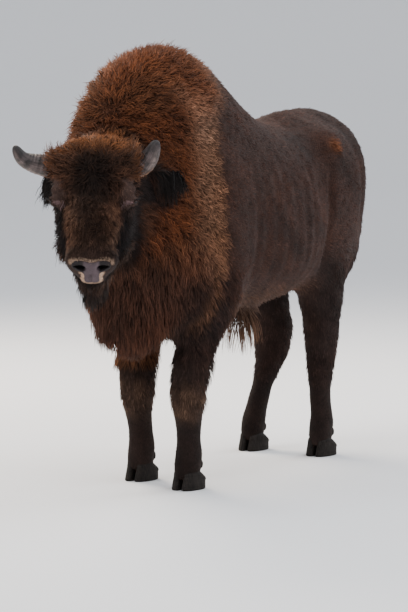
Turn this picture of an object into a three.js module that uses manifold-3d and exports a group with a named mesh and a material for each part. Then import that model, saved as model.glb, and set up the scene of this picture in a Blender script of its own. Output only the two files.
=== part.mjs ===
// A European bison bull, life size, standing with its head turned to its left, as a set of closed solids.
// Millimetres. +Z is up, the animal faces -Y and its left side is at +X. Sizes run to the tips of the coat.
//
// The flesh is one smooth field: a number for each point of space, below zero inside the animal.
// surfaceOf() turns the field into a closed mesh, and thin cuts part it into head, neck, trunk and limbs.
import * as THREE from "three";
import Module from "manifold-3d";

const wasm = await Module();
wasm.setup();

// ---------------------------------------------------------------- driving dimensions
const HEIGHT = 1806; // ground to the top of the hump
const GAP = 0.4; // between two pieces that touch
const HEAD_AT = new THREE.Vector3(42, -610, 1368); // the poll, inside the skull
const HEAD_TURN = 29; // degrees to the animal's left
const HEAD_DIP = 57; // degrees that the face points below level
const NECK_SWING = 25; // sideways bend of the neck at the poll
const HOOF_TOP = 62; // ground to the hair line above the hoof
const EYE_RADIUS = 20;
const PAD_DEPTH = 16; // thickness of the nose pad
const CELL = { trunk: 74, neck: 68, head: 32, leg: 45, tail: 38, pad: 22 };
const SLIVER = 0.05; // edges shorter than this are closed up

const COLOURS = {
  mane: 0x6b3a1a,
  flank: 0x3a2a22,
  dark: 0x1d1512,
  horn: 0x6d6a68,
  pad: 0x6a5a5c,
  eye: 0x120c0a,
  hoof: 0x2a2523,
};

// ---------------------------------------------------------------- field arithmetic
const degrees = THREE.MathUtils.degToRad;
const clamp = THREE.MathUtils.clamp;

// The union of two fields with a fillet about `blend` wide.
function join(a, b, blend) {
  const h = Math.max(blend - Math.abs(a - b), 0) / blend;
  return Math.min(a, b) - (h * h * blend) / 4;
}

// An ellipsoid, tipped by `tip` degrees about the X axis of its own frame.
function ellipsoid({ at, radii, tip = 0 }) {
  const cos = Math.cos(degrees(tip));
  const sin = Math.sin(degrees(tip));
  return (p) => {
    const x = p.x - at[0];
    const dy = p.y - at[1];
    const dz = p.z - at[2];
    const y = dy * cos + dz * sin;
    const z = dz * cos - dy * sin;
    const near = Math.hypot(x / radii[0], y / radii[1], z / radii[2]);
    const slope = Math.hypot(x / radii[0] ** 2, y / radii[1] ** 2, z / radii[2] ** 2);
    return slope < 1e-9 ? -Math.min(...radii) : (near * (near - 1)) / slope;
  };
}

// A limb: joints joined by tapering rods, thinner across the body than along it.
function limb(joints, across = 1, blend = 30) {
  return (p) => {
    let field = Infinity;
    for (let i = 1; i < joints.length; i += 1) {
      const [a, b] = [joints[i - 1], joints[i]];
      const [dx, dy, dz] = [b.x - a.x, b.y - a.y, b.z - a.z];
      const along = (p.x - a.x) * dx + (p.y - a.y) * dy + (p.z - a.z) * dz;
      const t = clamp(along / (dx * dx + dy * dy + dz * dz), 0, 1);
      const off = Math.hypot(
        (p.x - a.x - t * dx) / across,
        p.y - a.y - t * dy,
        p.z - a.z - t * dz,
      );
      field = join(field, (off - (a.r + t * (b.r - a.r))) * Math.min(1, across), blend);
    }
    return field;
  };
}

// Smooth interpolation of one named size along the spine.
function sizeAlong(sections, name) {
  const points = sections.map((s) => new THREE.Vector2(s.y, s[name]));
  return (y) => {
    const last = points.length - 1;
    if (y <= points[0].x) return points[0].y;
    if (y >= points[last].x) return points[last].y;
    const i = points.findIndex((q) => q.x > y) - 1;
    const slope = (j) => {
      const [lo, hi] = [points[Math.max(j - 1, 0)], points[Math.min(j + 1, last)]];
      return (hi.y - lo.y) / (hi.x - lo.x);
    };
    const width = points[i + 1].x - points[i].x;
    const t = (y - points[i].x) / width;
    const [t2, t3] = [t * t, t * t * t];
    return (
      points[i].y * (2 * t3 - 3 * t2 + 1) +
      points[i + 1].y * (3 * t2 - 2 * t3) +
      slope(i) * width * (t3 - 2 * t2 + t) +
      slope(i + 1) * width * (t3 - t2)
    );
  };
}

// ---------------------------------------------------------------- trunk and neck
// Cross sections from throat to rump: top line, bottom line, half width, height of the widest level.
const SECTIONS = [
  { y: -640, top: 1390, bottom: 1010, half: 130, widest: 1220 },
  { y: -540, top: 1540, bottom: 890, half: 178, widest: 1210 },
  { y: -430, top: 1672, bottom: 720, half: 222, widest: 1200 },
  { y: -300, top: 1752, bottom: 600, half: 262, widest: 1170 },
  { y: -180, top: 1790, bottom: 616, half: 286, widest: 1120 },
  { y: -60, top: HEIGHT, bottom: 632, half: 300, widest: 1060 },
  { y: 70, top: 1782, bottom: 658, half: 308, widest: 1020 },
  { y: 200, top: 1706, bottom: 692, half: 315, widest: 1000 },
  { y: 350, top: 1604, bottom: 704, half: 322, widest: 1000 },
  { y: 500, top: 1530, bottom: 710, half: 326, widest: 1005 },
  { y: 660, top: 1488, bottom: 718, half: 322, widest: 1020 },
  { y: 820, top: 1478, bottom: 740, half: 308, widest: 1050 },
  { y: 1000, top: 1500, bottom: 796, half: 280, widest: 1120 },
  { y: 1180, top: 1506, bottom: 880, half: 242, widest: 1180 },
  { y: 1340, top: 1478, bottom: 970, half: 208, widest: 1255 },
  { y: 1460, top: 1412, bottom: 1080, half: 158, widest: 1265 },
];
const ROUNDNESS = 2.25; // 2 is an ellipse, more is squarer
const TRUNK_ENDS = { front: -700, back: 1498, round: 215 };

const neckShift = (y) => NECK_SWING * clamp((-150 - y) / 460, 0, 1) ** 1.6;

function torso() {
  const [top, bottom, half, widest] = ["top", "bottom", "half", "widest"].map((name) =>
    sizeAlong(SECTIONS, name),
  );
  return (p) => {
    const middle = widest(p.y);
    const reach = p.z > middle ? top(p.y) - middle : middle - bottom(p.y);
    const wide = half(p.y);
    const x = Math.abs(p.x - neckShift(p.y)) / wide;
    const z = Math.abs(p.z - middle) / reach;
    const near = (x ** ROUNDNESS + z ** ROUNDNESS) ** (1 / ROUNDNESS);
    const slope = Math.hypot(x / near / wide, z / near / reach) || 1 / wide;
    const around = near < 0.3 ? -0.7 * wide : (near - 1) / slope;
    const beyond = Math.max(TRUNK_ENDS.front - p.y, p.y - TRUNK_ENDS.back);
    return -join(-around, -beyond, TRUNK_ENDS.round);
  };
}

// Muscle and bone that stand out of the barrel, mirrored to both sides.
const MUSCLES = [
  { name: "shoulder", at: [205, -10, 1010], radii: [118, 210, 350], tip: -12 },
  { name: "upper arm", at: [185, 10, 800], radii: [98, 152, 165] },
  { name: "hip bone", at: [200, 1020, 1370], radii: [68, 100, 68] },
  { name: "thigh", at: [150, 1130, 1050], radii: [122, 240, 330], tip: 10 },
  { name: "stifle", at: [170, 1000, 880], radii: [92, 160, 190], tip: -15 },
  { name: "buttock", at: [102, 1290, 1110], radii: [94, 112, 270], tip: 2 },
];
const MIDLINE = [
  { name: "brisket", at: [20, -330, 740], radii: [135, 175, 185] },
  { name: "belly", at: [0, 540, 905], radii: [294, 440, 182] },
  { name: "sacrum", at: [0, 1110, 1400], radii: [75, 280, 92], tip: -6 },
  { name: "tail head", at: [0, 1405, 1335], radii: [56, 110, 78], tip: -35 },
  { name: "sheath", at: [0, 640, 716], radii: [38, 85, 45], tip: 12 },
];
const MUSCLE_BLEND = 95;

// ---------------------------------------------------------------- legs
// Joint centres, and the radius of the leg there. x is the distance from the midline.
function foreleg({ knee, foot }) {
  return [
    { x: 180, y: 60, z: 760, r: 116 },
    { x: 166, y: knee.y + 58, z: 620, r: 94 },
    { x: 158, y: knee.y + 20, z: 500, r: 88 },
    { x: knee.x, y: knee.y, z: 392, r: 81 },
    { x: knee.x, y: knee.y + 8, z: 318, r: 63 },
    { x: (knee.x + foot.x) / 2, y: (knee.y + foot.y) / 2 + 14, z: 235, r: 53 },
    { x: foot.x, y: foot.y + 16, z: 140, r: 58 },
    { x: foot.x, y: foot.y, z: 92, r: 54 },
    { x: foot.x, y: foot.y - 8, z: 55, r: 60 },
  ];
}

function hindleg({ stifle, hock, foot }) {
  return [
    { x: stifle.x, y: stifle.y, z: stifle.z, r: 130 },
    { x: (stifle.x + hock.x) / 2, y: (stifle.y + hock.y) / 2 + 15, z: 680, r: hock.r + 30 },
    { x: hock.x, y: hock.y + 2, z: 545, r: hock.r + 13 },
    { x: hock.x, y: hock.y, z: 450, r: hock.r },
    { x: hock.x, y: hock.y + (foot.y - hock.y) * 0.3, z: 360, r: 61 },
    { x: (hock.x + foot.x) / 2, y: hock.y + (foot.y - hock.y) * 0.68, z: 240, r: 51 },
    { x: foot.x, y: foot.y + 18, z: 145, r: 57 },
    { x: foot.x, y: foot.y, z: 95, r: 52 },
    { x: foot.x, y: foot.y - 10, z: 55, r: 58 },
  ];
}

// Where a leg is cut from the trunk, for the left side.
const FRONT_BOX = { from: [GAP / 2, -215, HOOF_TOP], to: [430, 330, 606] };
const HIND_BOX = { from: [GAP / 2, 830, HOOF_TOP], to: [430, 1600, 700], slope: 25 };

const LEGS = {
  front_left: {
    side: 1,
    foot: { x: 150, y: -92 },
    joints: foreleg({ knee: { x: 150, y: -92 }, foot: { x: 150, y: -92 } }),
    box: FRONT_BOX,
  },
  front_right: {
    side: -1,
    foot: { x: 144, y: 24 },
    joints: foreleg({ knee: { x: 150, y: 6 }, foot: { x: 144, y: 24 } }),
    box: FRONT_BOX,
  },
  hind_left: {
    side: 1,
    foot: { x: 170, y: 1035 },
    joints: hindleg({
      stifle: { x: 165, y: 1020, z: 860 },
      hock: { x: 160, y: 1060, r: 73 },
      foot: { x: 170, y: 1035 },
    }),
    point: { x: 160, y: 1122, z: 520 },
    box: HIND_BOX,
  },
  hind_right: {
    side: -1,
    foot: { x: 172, y: 1035 },
    joints: hindleg({
      stifle: { x: 165, y: 1040, z: 860 },
      hock: { x: 156, y: 1190, r: 85 },
      foot: { x: 172, y: 1035 },
    }),
    point: { x: 135, y: 1285, z: 520 },
    box: HIND_BOX,
  },
};

const mirrored = (field, side) => (side > 0 ? field : (p) => field({ x: -p.x, y: p.y, z: p.z }));

function legField({ side, joints, point }) {
  const shaft = limb(joints, 0.88, 36);
  if (!point) return mirrored(shaft, side);
  const heel = limb([{ ...joints[3], r: 40 }, { ...point, r: 26 }], 0.8);
  const tendon = limb([{ ...point, r: 26 }, { ...joints[1], r: 50 }], 0.7);
  return mirrored((p) => join(join(shaft(p), heel(p), 40), tendon(p), 40), side);
}

// ---------------------------------------------------------------- tail
const DOCK = [
  { x: 0, y: 1420, z: 1370, r: 46 },
  { x: 0, y: 1492, z: 1280, r: 40 },
  { x: 0, y: 1524, z: 1080, r: 33 },
  { x: 0, y: 1520, z: 880, r: 32 },
  { x: 0, y: 1514, z: 760, r: 46 },
  { x: 0, y: 1512, z: 640, r: 40 },
  { x: 0, y: 1514, z: 560, r: 14 },
];
const TAIL_BOX = { from: [-75, 1474, 480], to: [75, 1700, 1310] };
const TAIL_TUFT_TOP = 850;

// ---------------------------------------------------------------- head
// The head has its own frame, as if it were held level and straight: the nose at -y, the forehead at +z.
const headFrame = (() => {
  const [turn, dip] = [degrees(HEAD_TURN), degrees(HEAD_DIP)];
  const left = new THREE.Vector3(Math.cos(turn), Math.sin(turn), 0);
  const nose = new THREE.Vector3(
    Math.sin(turn) * Math.cos(dip),
    -Math.cos(turn) * Math.cos(dip),
    -Math.sin(dip),
  );
  const brow = new THREE.Vector3().crossVectors(nose, left);
  return new THREE.Matrix4().makeBasis(left, nose.negate(), brow).setPosition(HEAD_AT);
})();
const toHead = headFrame.clone().invert();
const inWorld = (x, y, z) => new THREE.Vector3(x, y, z).applyMatrix4(headFrame);

const SKULL = [
  { name: "cranium", at: [0, -75, -8], radii: [160, 145, 145] },
  { name: "forelock", at: [0, -92, 52], radii: [190, 156, 108] },
  { name: "face", at: [0, -262, 8], radii: [122, 185, 104] },
  { name: "nose bridge", at: [0, -345, 20], radii: [86, 160, 66] },
  { name: "muzzle", at: [0, -458, -14], radii: [99, 88, 80] },
  { name: "lower jaw", at: [0, -335, -90], radii: [76, 170, 60] },
  { name: "chin", at: [0, -442, -92], radii: [58, 70, 44] },
];
const SKULL_PAIRS = [
  { name: "brow ridge", at: [126, -186, 46], radii: [50, 52, 46] },
  { name: "cheek", at: [94, -165, -80], radii: [76, 140, 112] },
  { name: "cheek hair", at: [98, -285, -66], radii: [57, 140, 76] },
  { name: "nostril wing", at: [54, -478, 14], radii: [42, 42, 36] },
];
const HOLLOWS = [
  { name: "eye socket", at: [164, -224, 24], radii: [30, 32, 24] },
  { name: "nostril", at: [49, -522, 22], radii: [23, 24, 15] },
];
const MUZZLE_FRONT = { y: -520, z: 0, tilt: 28, round: 46 }; // tilt: degrees that the nose pad looks up
const EYE_AT = { x: 146, y: -222, z: 26 };
const BEARD = [
  { drop: 0, r: 50 },
  { drop: 80, r: 38 },
  { drop: 136, r: 11 },
];
const BEARD_AT = inWorld(0, -438, -94);
const BEARD_BOX = { from: [20, -850, 700], to: [220, -650, 874] };

const onBothSides = (field) => (p) => field({ x: Math.abs(p.x), y: p.y, z: p.z });

function levelHead() {
  const parts = [...SKULL.map(ellipsoid), ...SKULL_PAIRS.map((s) => onBothSides(ellipsoid(s)))];
  const hollows = HOLLOWS.map((s) => onBothSides(ellipsoid(s)));
  const tilt = degrees(MUZZLE_FRONT.tilt);
  return (p) => {
    let field = parts.reduce((sum, part) => join(sum, part(p), 46), Infinity);
    const ahead =
      (MUZZLE_FRONT.y - p.y) * Math.cos(tilt) + (p.z - MUZZLE_FRONT.z) * Math.sin(tilt);
    field = -join(-field, -ahead, MUZZLE_FRONT.round);
    for (const hollow of hollows) field = -join(-field, hollow(p), 14);
    return field;
  };
}

function headField() {
  const level = levelHead();
  const local = new THREE.Vector3();
  const beard = limb(BEARD.map(({ drop, r }) => ({ ...BEARD_AT, z: BEARD_AT.z - drop, r })));
  return (p) => join(level(local.set(p.x, p.y, p.z).applyMatrix4(toHead)), beard(p), 30);
}

// ---------------------------------------------------------------- the whole animal as one field
const SHEATH_TUFT = [
  { x: 0, y: 640, z: 650, r: 48 },
  { x: 0, y: 648, z: 560, r: 34 },
  { x: 0, y: 654, z: 486, r: 10 },
];

function wholeBody(dock) {
  const trunk = torso();
  const muscles = MUSCLES.map((s) => onBothSides(ellipsoid(s)));
  const midline = MIDLINE.map(ellipsoid);
  const legs = Object.values(LEGS).map(legField);
  const ends = [limb(dock), limb(SHEATH_TUFT)];
  const head = headField();
  return (p) => {
    let field = trunk(p);
    for (const part of [...muscles, ...midline]) field = join(field, part(p), MUSCLE_BLEND);
    for (const part of legs) field = join(field, part(p), 50);
    for (const part of ends) field = join(field, part(p), 26);
    return join(field, head(p), 85);
  };
}

const body = wholeBody(DOCK);
const tailless = wholeBody(DOCK.slice(0, 2));

// ---------------------------------------------------------------- from field to mesh
const STEPS = [
  [1, 0, 0],
  [0, 1, 0],
  [0, 0, 1],
];

// Surface nets: one vertex in each grid cell that the surface crosses, moved onto the surface, and one
// four-sided face for each grid edge that it crosses. The surface is closed at the rim of the box.
function surfaceOf(field, box, cell) {
  const low = new THREE.Vector3(...box.from);
  const size = new THREE.Vector3(...box.to).sub(low).divideScalar(cell).ceil().addScalar(1);
  const number = (i, j, k) => i + size.x * (j + size.y * k);
  const place = (i, j, k) => new THREE.Vector3(i, j, k).multiplyScalar(cell).add(low);
  const values = new Float64Array(size.x * size.y * size.z);
  const isRim = (n, count) => n === 0 || n === count - 1;
  eachPoint(size, (i, j, k) => {
    const value = field(place(i, j, k));
    const rim = isRim(i, size.x) || isRim(j, size.y) || isRim(k, size.z);
    values[number(i, j, k)] = rim ? Math.max(value, cell / 4) : value;
  });
  settleFaces(values, size, number);

  const points = [];
  const numbers = new Map();
  const vertex = (i, j, k) => {
    const key = number(i, j, k);
    if (!numbers.has(key)) {
      numbers.set(key, points.length);
      points.push(netPoint(field, cell, crossings(i, j, k)));
    }
    return numbers.get(key);
  };
  // Where the surface crosses the twelve edges of a cell.
  const crossings = (i, j, k) => {
    const found = [];
    for (let n = 0; n < 8; n += 1)
      for (const bit of [1, 2, 4]) {
        if (n & bit) continue;
        const [from, to] = [n, n | bit].map((m) => [i + (m & 1), j + ((m >> 1) & 1), k + (m >> 2)]);
        const [a, b] = [values[number(...from)], values[number(...to)]];
        if (a < 0 !== b < 0) found.push(place(...from).lerp(place(...to), a / (a - b)));
      }
    return found;
  };
  const faces = [];
  eachPoint(size.clone().subScalar(1), (i, j, k) => {
    STEPS.forEach((step, axis) => {
      const inside = values[number(i, j, k)] < 0;
      if (inside === values[number(i + step[0], j + step[1], k + step[2])] < 0) return;
      const [u, v] = [STEPS[(axis + 1) % 3], STEPS[(axis + 2) % 3]];
      const corner = (a, b) =>
        vertex(i - a * u[0] - b * v[0], j - a * u[1] - b * v[1], k - a * u[2] - b * v[2]);
      const ring = [corner(1, 1), corner(0, 1), corner(0, 0), corner(1, 0)];
      if (!inside) ring.reverse();
      const across = (a, b) => points[ring[a]].distanceTo(points[ring[b]]);
      const order = across(0, 2) < across(1, 3) ? [0, 1, 2, 0, 2, 3] : [0, 1, 3, 1, 2, 3];
      faces.push(...order.map((n) => ring[n]));
    });
  });
  const geometry = new THREE.BufferGeometry().setFromPoints(points);
  return geometry.setIndex(faces);
}

// No single surface passes through a grid face whose corners are in and out by turns, so the outer corner
// that is nearer to the surface is taken in.
function settleFaces(values, size, number) {
  let settled = true;
  eachPoint(size.clone().subScalar(1), (i, j, k) => {
    STEPS.forEach((_, axis) => {
      const [u, v] = [STEPS[(axis + 1) % 3], STEPS[(axis + 2) % 3]];
      const corner = (a, b) =>
        number(i + a * u[0] + b * v[0], j + a * u[1] + b * v[1], k + a * u[2] + b * v[2]);
      const ring = [corner(0, 0), corner(1, 0), corner(1, 1), corner(0, 1)];
      const outer = ring.filter((n) => values[n] >= 0);
      if (outer.length !== 2 || (ring.indexOf(outer[1]) - ring.indexOf(outer[0])) % 2) return;
      values[values[outer[0]] < values[outer[1]] ? outer[0] : outer[1]] = -0.01;
      settled = false;
    });
  });
  if (!settled) settleFaces(values, size, number);
}

function eachPoint(count, visit) {
  for (let k = 0; k < count.z; k += 1)
    for (let j = 0; j < count.y; j += 1) for (let i = 0; i < count.x; i += 1) visit(i, j, k);
}

// The middle of a cell's crossings, stepped onto the surface but kept in its cell.
function netPoint(field, cell, crossed) {
  const start = crossed.reduce((sum, at) => sum.add(at)).divideScalar(crossed.length);
  const point = start.clone();
  const reach = cell * 0.45;
  for (let n = 0; n < 3; n += 1) {
    const slope = new THREE.Vector3();
    for (const axis of ["x", "y", "z"]) {
      const [ahead, behind] = [point.clone(), point.clone()];
      ahead[axis] += 1;
      behind[axis] -= 1;
      slope[axis] = (field(ahead) - field(behind)) / 2;
    }
    point.addScaledVector(slope, -field(point) / Math.max(slope.lengthSq(), 0.25));
  }
  return point.clamp(start.clone().subScalar(reach), start.clone().addScalar(reach));
}

// ---------------------------------------------------------------- solids
// A closed solid from a closed mesh, its repeated corners made one.
function solid(geometry) {
  const bare = geometry.index ? geometry.toNonIndexed() : geometry;
  const at = new THREE.Vector3();
  const numbers = new Map();
  const points = [];
  const corners = Array.from({ length: bare.attributes.position.count }, (_, n) => {
    at.fromBufferAttribute(bare.attributes.position, n);
    const key = at.toArray().map((value) => Math.round(value * 1000)).join();
    if (!numbers.has(key)) {
      numbers.set(key, points.length / 3);
      points.push(...at.toArray());
    }
    return numbers.get(key);
  });
  const faces = [];
  for (let n = 0; n < corners.length; n += 3) {
    const [a, b, c] = corners.slice(n, n + 3);
    if (a !== b && b !== c && c !== a) faces.push(a, b, c);
  }
  const vertProperties = new Float32Array(points);
  return new wasm.Manifold(
    new wasm.Mesh({ numProp: 3, vertProperties, triVerts: new Uint32Array(faces) }),
  );
}

function geometryOf(manifold) {
  const { vertProperties, triVerts } = manifold.getMesh();
  const geometry = new THREE.BufferGeometry();
  geometry.setAttribute("position", new THREE.BufferAttribute(vertProperties, 3));
  geometry.setIndex(new THREE.BufferAttribute(triVerts, 1));
  geometry.computeVertexNormals();
  return geometry;
}

// A box between two corners, `grow` larger all round, on the left side (1) or the right (-1).
// Its top rises towards the rump by `slope` degrees.
function block({ from, to, slope = 0 }, grow = 0, side = 1) {
  const size = to.map((value, n) => value - from[n] + 2 * grow);
  const [x, y, z] = to.map((value, n) => (value + from[n]) / 2);
  const geometry = new THREE.BoxGeometry(...size).translate(side * x, y, z);
  const places = geometry.attributes.position;
  for (let n = 0; n < places.count; n += 1) {
    const rise = Math.tan(degrees(slope)) * (places.getY(n) - from[1]);
    if (places.getZ(n) > z) places.setZ(n, places.getZ(n) + rise);
  }
  return solid(geometry);
}

// What lies on the side of a plane that its normal points to, less half the gap.
function beyond(manifold, { at, normal }) {
  const unit = normal.clone().normalize();
  return manifold.trimByPlane(unit.toArray(), unit.dot(at) + GAP / 2);
}

const facingBack = ({ at, normal }) => ({ at, normal: normal.clone().negate() });

const bison = new THREE.Group();

// Adds the largest body of a cut, without the slivers and crumbs that a cut can leave.
function piece(name, manifold, colour, roughness = 0.9) {
  const bodies = manifold.simplify(SLIVER).decompose();
  const largest = bodies.reduce((a, b) => (a.volume() > b.volume() ? a : b));
  const material = new THREE.MeshStandardMaterial({ color: colour, roughness, metalness: 0 });
  const mesh = new THREE.Mesh(geometryOf(largest), material);
  mesh.name = name;
  bison.add(mesh);
}

// ---------------------------------------------------------------- horns, ears and eyes
// Curves of the horns in the head's frame, from inside the skull to the tip.
const HORNS = {
  left: [
    [100, -62, -4],
    [174, -54, 10],
    [218, -38, 48],
    [248, -8, 98],
  ],
  right: [
    [-104, -58, -18],
    [-186, -48, -6],
    [-272, -34, 18],
    [-312, 6, 56],
  ],
};
// Radius of a horn at each share of its length.
const HORN_TAPER = [
  [0, 0],
  [0, 46],
  [0.38, 45],
  [0.6, 36],
  [0.8, 27],
  [0.92, 20],
  [0.985, 12],
  [1, 0],
];

// A turned shape with its axis laid along a curve.
function turnedAlong(taper, curve, grow, sides = 14) {
  const outline = taper.map(([share, radius]) => new THREE.Vector2(radius && radius + grow, share));
  const geometry = new THREE.LatheGeometry(outline, sides);
  const places = geometry.attributes.position;
  const side = new THREE.Vector3(...STEPS[0]);
  for (let n = 0; n < places.count; n += 1) {
    const share = places.getY(n);
    const along = curve.getTangentAt(share);
    const front = new THREE.Vector3(0, -0.55, 0.84).cross(along).normalize();
    side.crossVectors(front, along);
    const at = curve.getPointAt(share).addScaledVector(along, (share === 1 ? 1 : -1) * grow);
    at.addScaledVector(front, places.getX(n)).addScaledVector(side, places.getZ(n));
    places.setXYZ(n, ...at.toArray());
  }
  return geometry.applyMatrix4(headFrame);
}

function horn(side, grow = 0) {
  const curve = new THREE.CatmullRomCurve3(HORNS[side].map((at) => new THREE.Vector3(...at)));
  return solid(turnedAlong(HORN_TAPER, curve, grow));
}

// Root, tip and the way that the ear's hollow looks, in the head's frame.
const EARS = {
  left: { root: [135, -72, -92], tip: [352, -28, -122], hollow: [0, -0.75, 0.5] },
  right: { root: [-132, -72, -92], tip: [-226, -6, -222], hollow: [-0.8, -0.4, 0.3] },
};
const EAR = { half: 53, thick: 13, cup: 20 };

// An ear: a leaf, widest beyond its middle, cupped towards its hollow.
function ear(name, grow = 0) {
  const { root, tip, hollow } = EARS[name];
  const start = new THREE.Vector3(...root);
  const along = new THREE.Vector3(...tip).sub(start);
  const length = along.length();
  along.normalize();
  const across = new THREE.Vector3(...hollow).cross(along).negate().normalize();
  const out = new THREE.Vector3().crossVectors(across, along);
  const geometry = new THREE.SphereGeometry(1, 12, 9);
  const places = geometry.attributes.position;
  for (let n = 0; n < places.count; n += 1) {
    const [x, y, z] = [places.getX(n), places.getY(n), places.getZ(n)];
    const reach = (0.5 + 0.5 * y) * length + y * grow;
    const width = (EAR.half + grow) * x * (1 + 0.22 * y);
    const rise = (EAR.thick + grow) * z + EAR.cup * (x * x - 0.4);
    const at = start.clone().addScaledVector(along, reach).addScaledVector(across, width);
    places.setXYZ(n, ...at.addScaledVector(out, rise).toArray());
  }
  return solid(geometry.applyMatrix4(headFrame));
}

function eye(side, grow = 0) {
  const geometry = new THREE.SphereGeometry(EYE_RADIUS + grow, 12, 8);
  geometry.translate(side * EYE_AT.x, EYE_AT.y, EYE_AT.z);
  return solid(geometry.applyMatrix4(headFrame));
}

// ---------------------------------------------------------------- hooves
// Half of a cloven hoof: the outline of its sole, with the middle of the hoof at x = 0 and the toe at -y.
const CLAW = { inner: 5, outer: 62, toe: -74, heel: 62, waist: 0.86, set: 10 };

function claw({ side, foot }, half) {
  const { inner, outer, toe, heel } = CLAW;
  const sole = new THREE.Shape();
  sole.moveTo(half * inner, heel);
  sole.lineTo(half * inner, toe + 22);
  sole.quadraticCurveTo(half * (inner + 4), toe, half * (inner + 20), toe + 2);
  sole.quadraticCurveTo(half * outer, toe + 24, half * outer, 4);
  sole.quadraticCurveTo(half * (outer - 2), heel, half * (outer - 26), heel + 4);
  sole.closePath();
  const depth = HOOF_TOP - GAP / 2;
  const geometry = new THREE.ExtrudeGeometry(sole, { depth, bevelEnabled: false, curveSegments: 3 });
  const places = geometry.attributes.position;
  for (let n = 0; n < places.count; n += 1) {
    const share = places.getZ(n) / depth;
    const shrink = 1 + (CLAW.waist - 1) * share;
    const x = half * inner + (places.getX(n) - half * inner) * shrink;
    places.setXYZ(n, x, places.getY(n) * shrink + CLAW.set * share, places.getZ(n));
  }
  return solid(geometry.translate(side * foot.x, foot.y, 0));
}

// ---------------------------------------------------------------- cuts between the parts
const NECK_ROOT = { at: new THREE.Vector3(0, -215, 1200), normal: new THREE.Vector3(0, -1, 0) };
const NAPE = { at: inWorld(0, 88, 20), normal: new THREE.Vector3(0.42, -0.76, -0.5) };
const THROAT = { at: inWorld(0, 80, -60), normal: new THREE.Vector3(0.48, -0.87, 0.11) };
const PAD_FACE = (() => {
  const normal = new THREE.Vector3(0, -1, 0).applyAxisAngle(
    new THREE.Vector3(...STEPS[0]),
    -degrees(MUZZLE_FRONT.tilt),
  );
  const at = new THREE.Vector3(0, MUZZLE_FRONT.y, MUZZLE_FRONT.z).addScaledVector(normal, -PAD_DEPTH);
  return { at: at.applyMatrix4(headFrame), normal: normal.transformDirection(headFrame) };
})();
const TRUNK_BOX = { from: [-460, -470, 380], to: [460, 1640, 1960] };
const NECK_BOX = { from: [-420, -900, 480], to: [460, -60, 1960] };
const HEAD_BOX = { from: [-260, -960, 760], to: [330, -320, 1680] };
const PAD_BOX = { from: [70, -930, 860], to: [320, -760, 1060] };
const SHEATH_BOX = { from: [-90, 550, 430], to: [90, 740, 606] };

const fleshAbout = (box, cell, flesh = body) => solid(surfaceOf(flesh, box, cell));

// The flesh inside a box, meshed with its own cell size.
function fleshIn(box, cell, side = 1) {
  const room = {
    from: box.from.map((value) => value - 1.5 * cell),
    to: box.to.map((value) => value + 1.5 * cell),
  };
  room.to[2] += Math.tan(degrees(box.slope ?? 0)) * (box.to[1] - box.from[1]);
  const across = side < 0 ? [-room.to[0], -room.from[0]] : [room.from[0], room.to[0]];
  [room.from[0], room.to[0]] = across;
  return fleshAbout(room, cell).intersect(block(box, -GAP / 2, side));
}

const LEFT = 1;
const RIGHT = -1;
const seated = [
  ...["left", "right"].flatMap((side) => [horn(side, GAP), ear(side, GAP)]),
  ...[LEFT, RIGHT].map((side) => eye(side, GAP)),
];
const socketed = (manifold) => seated.reduce((rest, part) => rest.subtract(part), manifold);
const front = beyond(beyond(fleshAbout(HEAD_BOX, CELL.head), NAPE), THROAT);
const shaven = front.subtract(block(BEARD_BOX, GAP / 2));
piece("head", socketed(beyond(shaven, facingBack(PAD_FACE))), COLOURS.mane);
piece("beard", front.intersect(block(BEARD_BOX, -GAP / 2)), COLOURS.dark);
piece("nose_pad", beyond(fleshAbout(PAD_BOX, CELL.pad), PAD_FACE), COLOURS.pad, 0.5);
for (const side of ["left", "right"]) {
  piece(`horn_${side}`, horn(side), COLOURS.horn, 0.6);
  piece(`ear_${side}`, ear(side), COLOURS.dark);
  piece(`eye_${side}`, eye(side === "left" ? LEFT : RIGHT), COLOURS.eye, 0.1);
}

const mane = beyond(fleshAbout(NECK_BOX, CELL.neck), NECK_ROOT);
const collar = beyond(mane, facingBack(NAPE)).add(beyond(mane, facingBack(THROAT)));
piece("neck", socketed(collar), COLOURS.mane);

let barrel = beyond(fleshAbout(TRUNK_BOX, CELL.trunk, tailless), facingBack(NECK_ROOT));
const pair = (box) => ({ ...box, from: [-box.to[0], box.from[1], box.from[2]] });
for (const box of [pair(FRONT_BOX), pair(HIND_BOX), TAIL_BOX, SHEATH_BOX])
  barrel = barrel.subtract(block(box, GAP / 2));
piece("trunk", barrel, COLOURS.flank);
piece("sheath_tuft", fleshIn(SHEATH_BOX, CELL.tail), COLOURS.mane);

for (const [name, leg] of Object.entries(LEGS)) {
  piece(`leg_${name}`, fleshIn(leg.box, CELL.leg, leg.side), COLOURS.dark);
  for (const half of [LEFT, RIGHT]) {
    const where = half === leg.side ? "outer" : "inner";
    piece(`claw_${name}_${where}`, claw(leg, half), COLOURS.hoof, 0.5);
  }
}

const dock = fleshIn(TAIL_BOX, CELL.tail);
const tuftLine = { at: new THREE.Vector3(0, 0, TAIL_TUFT_TOP), normal: new THREE.Vector3(0, 0, -1) };
piece("tail", beyond(dock, facingBack(tuftLine)), COLOURS.flank);
piece("tail_tuft", beyond(dock, tuftLine), COLOURS.dark);

// The origin is on the ground under the middle of the whole.
const whole = new THREE.Box3().setFromObject(bison);
const middle = whole.getCenter(new THREE.Vector3());
for (const mesh of bison.children) mesh.geometry.translate(-middle.x, -middle.y, -whole.min.z);

export default bison;
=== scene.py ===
# A European bison bull, life size: skin, coat, horns, hooves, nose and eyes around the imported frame.
import math

import bmesh
import bpy
import numpy as np
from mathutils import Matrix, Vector
from mathutils.bvhtree import BVHTree


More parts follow.
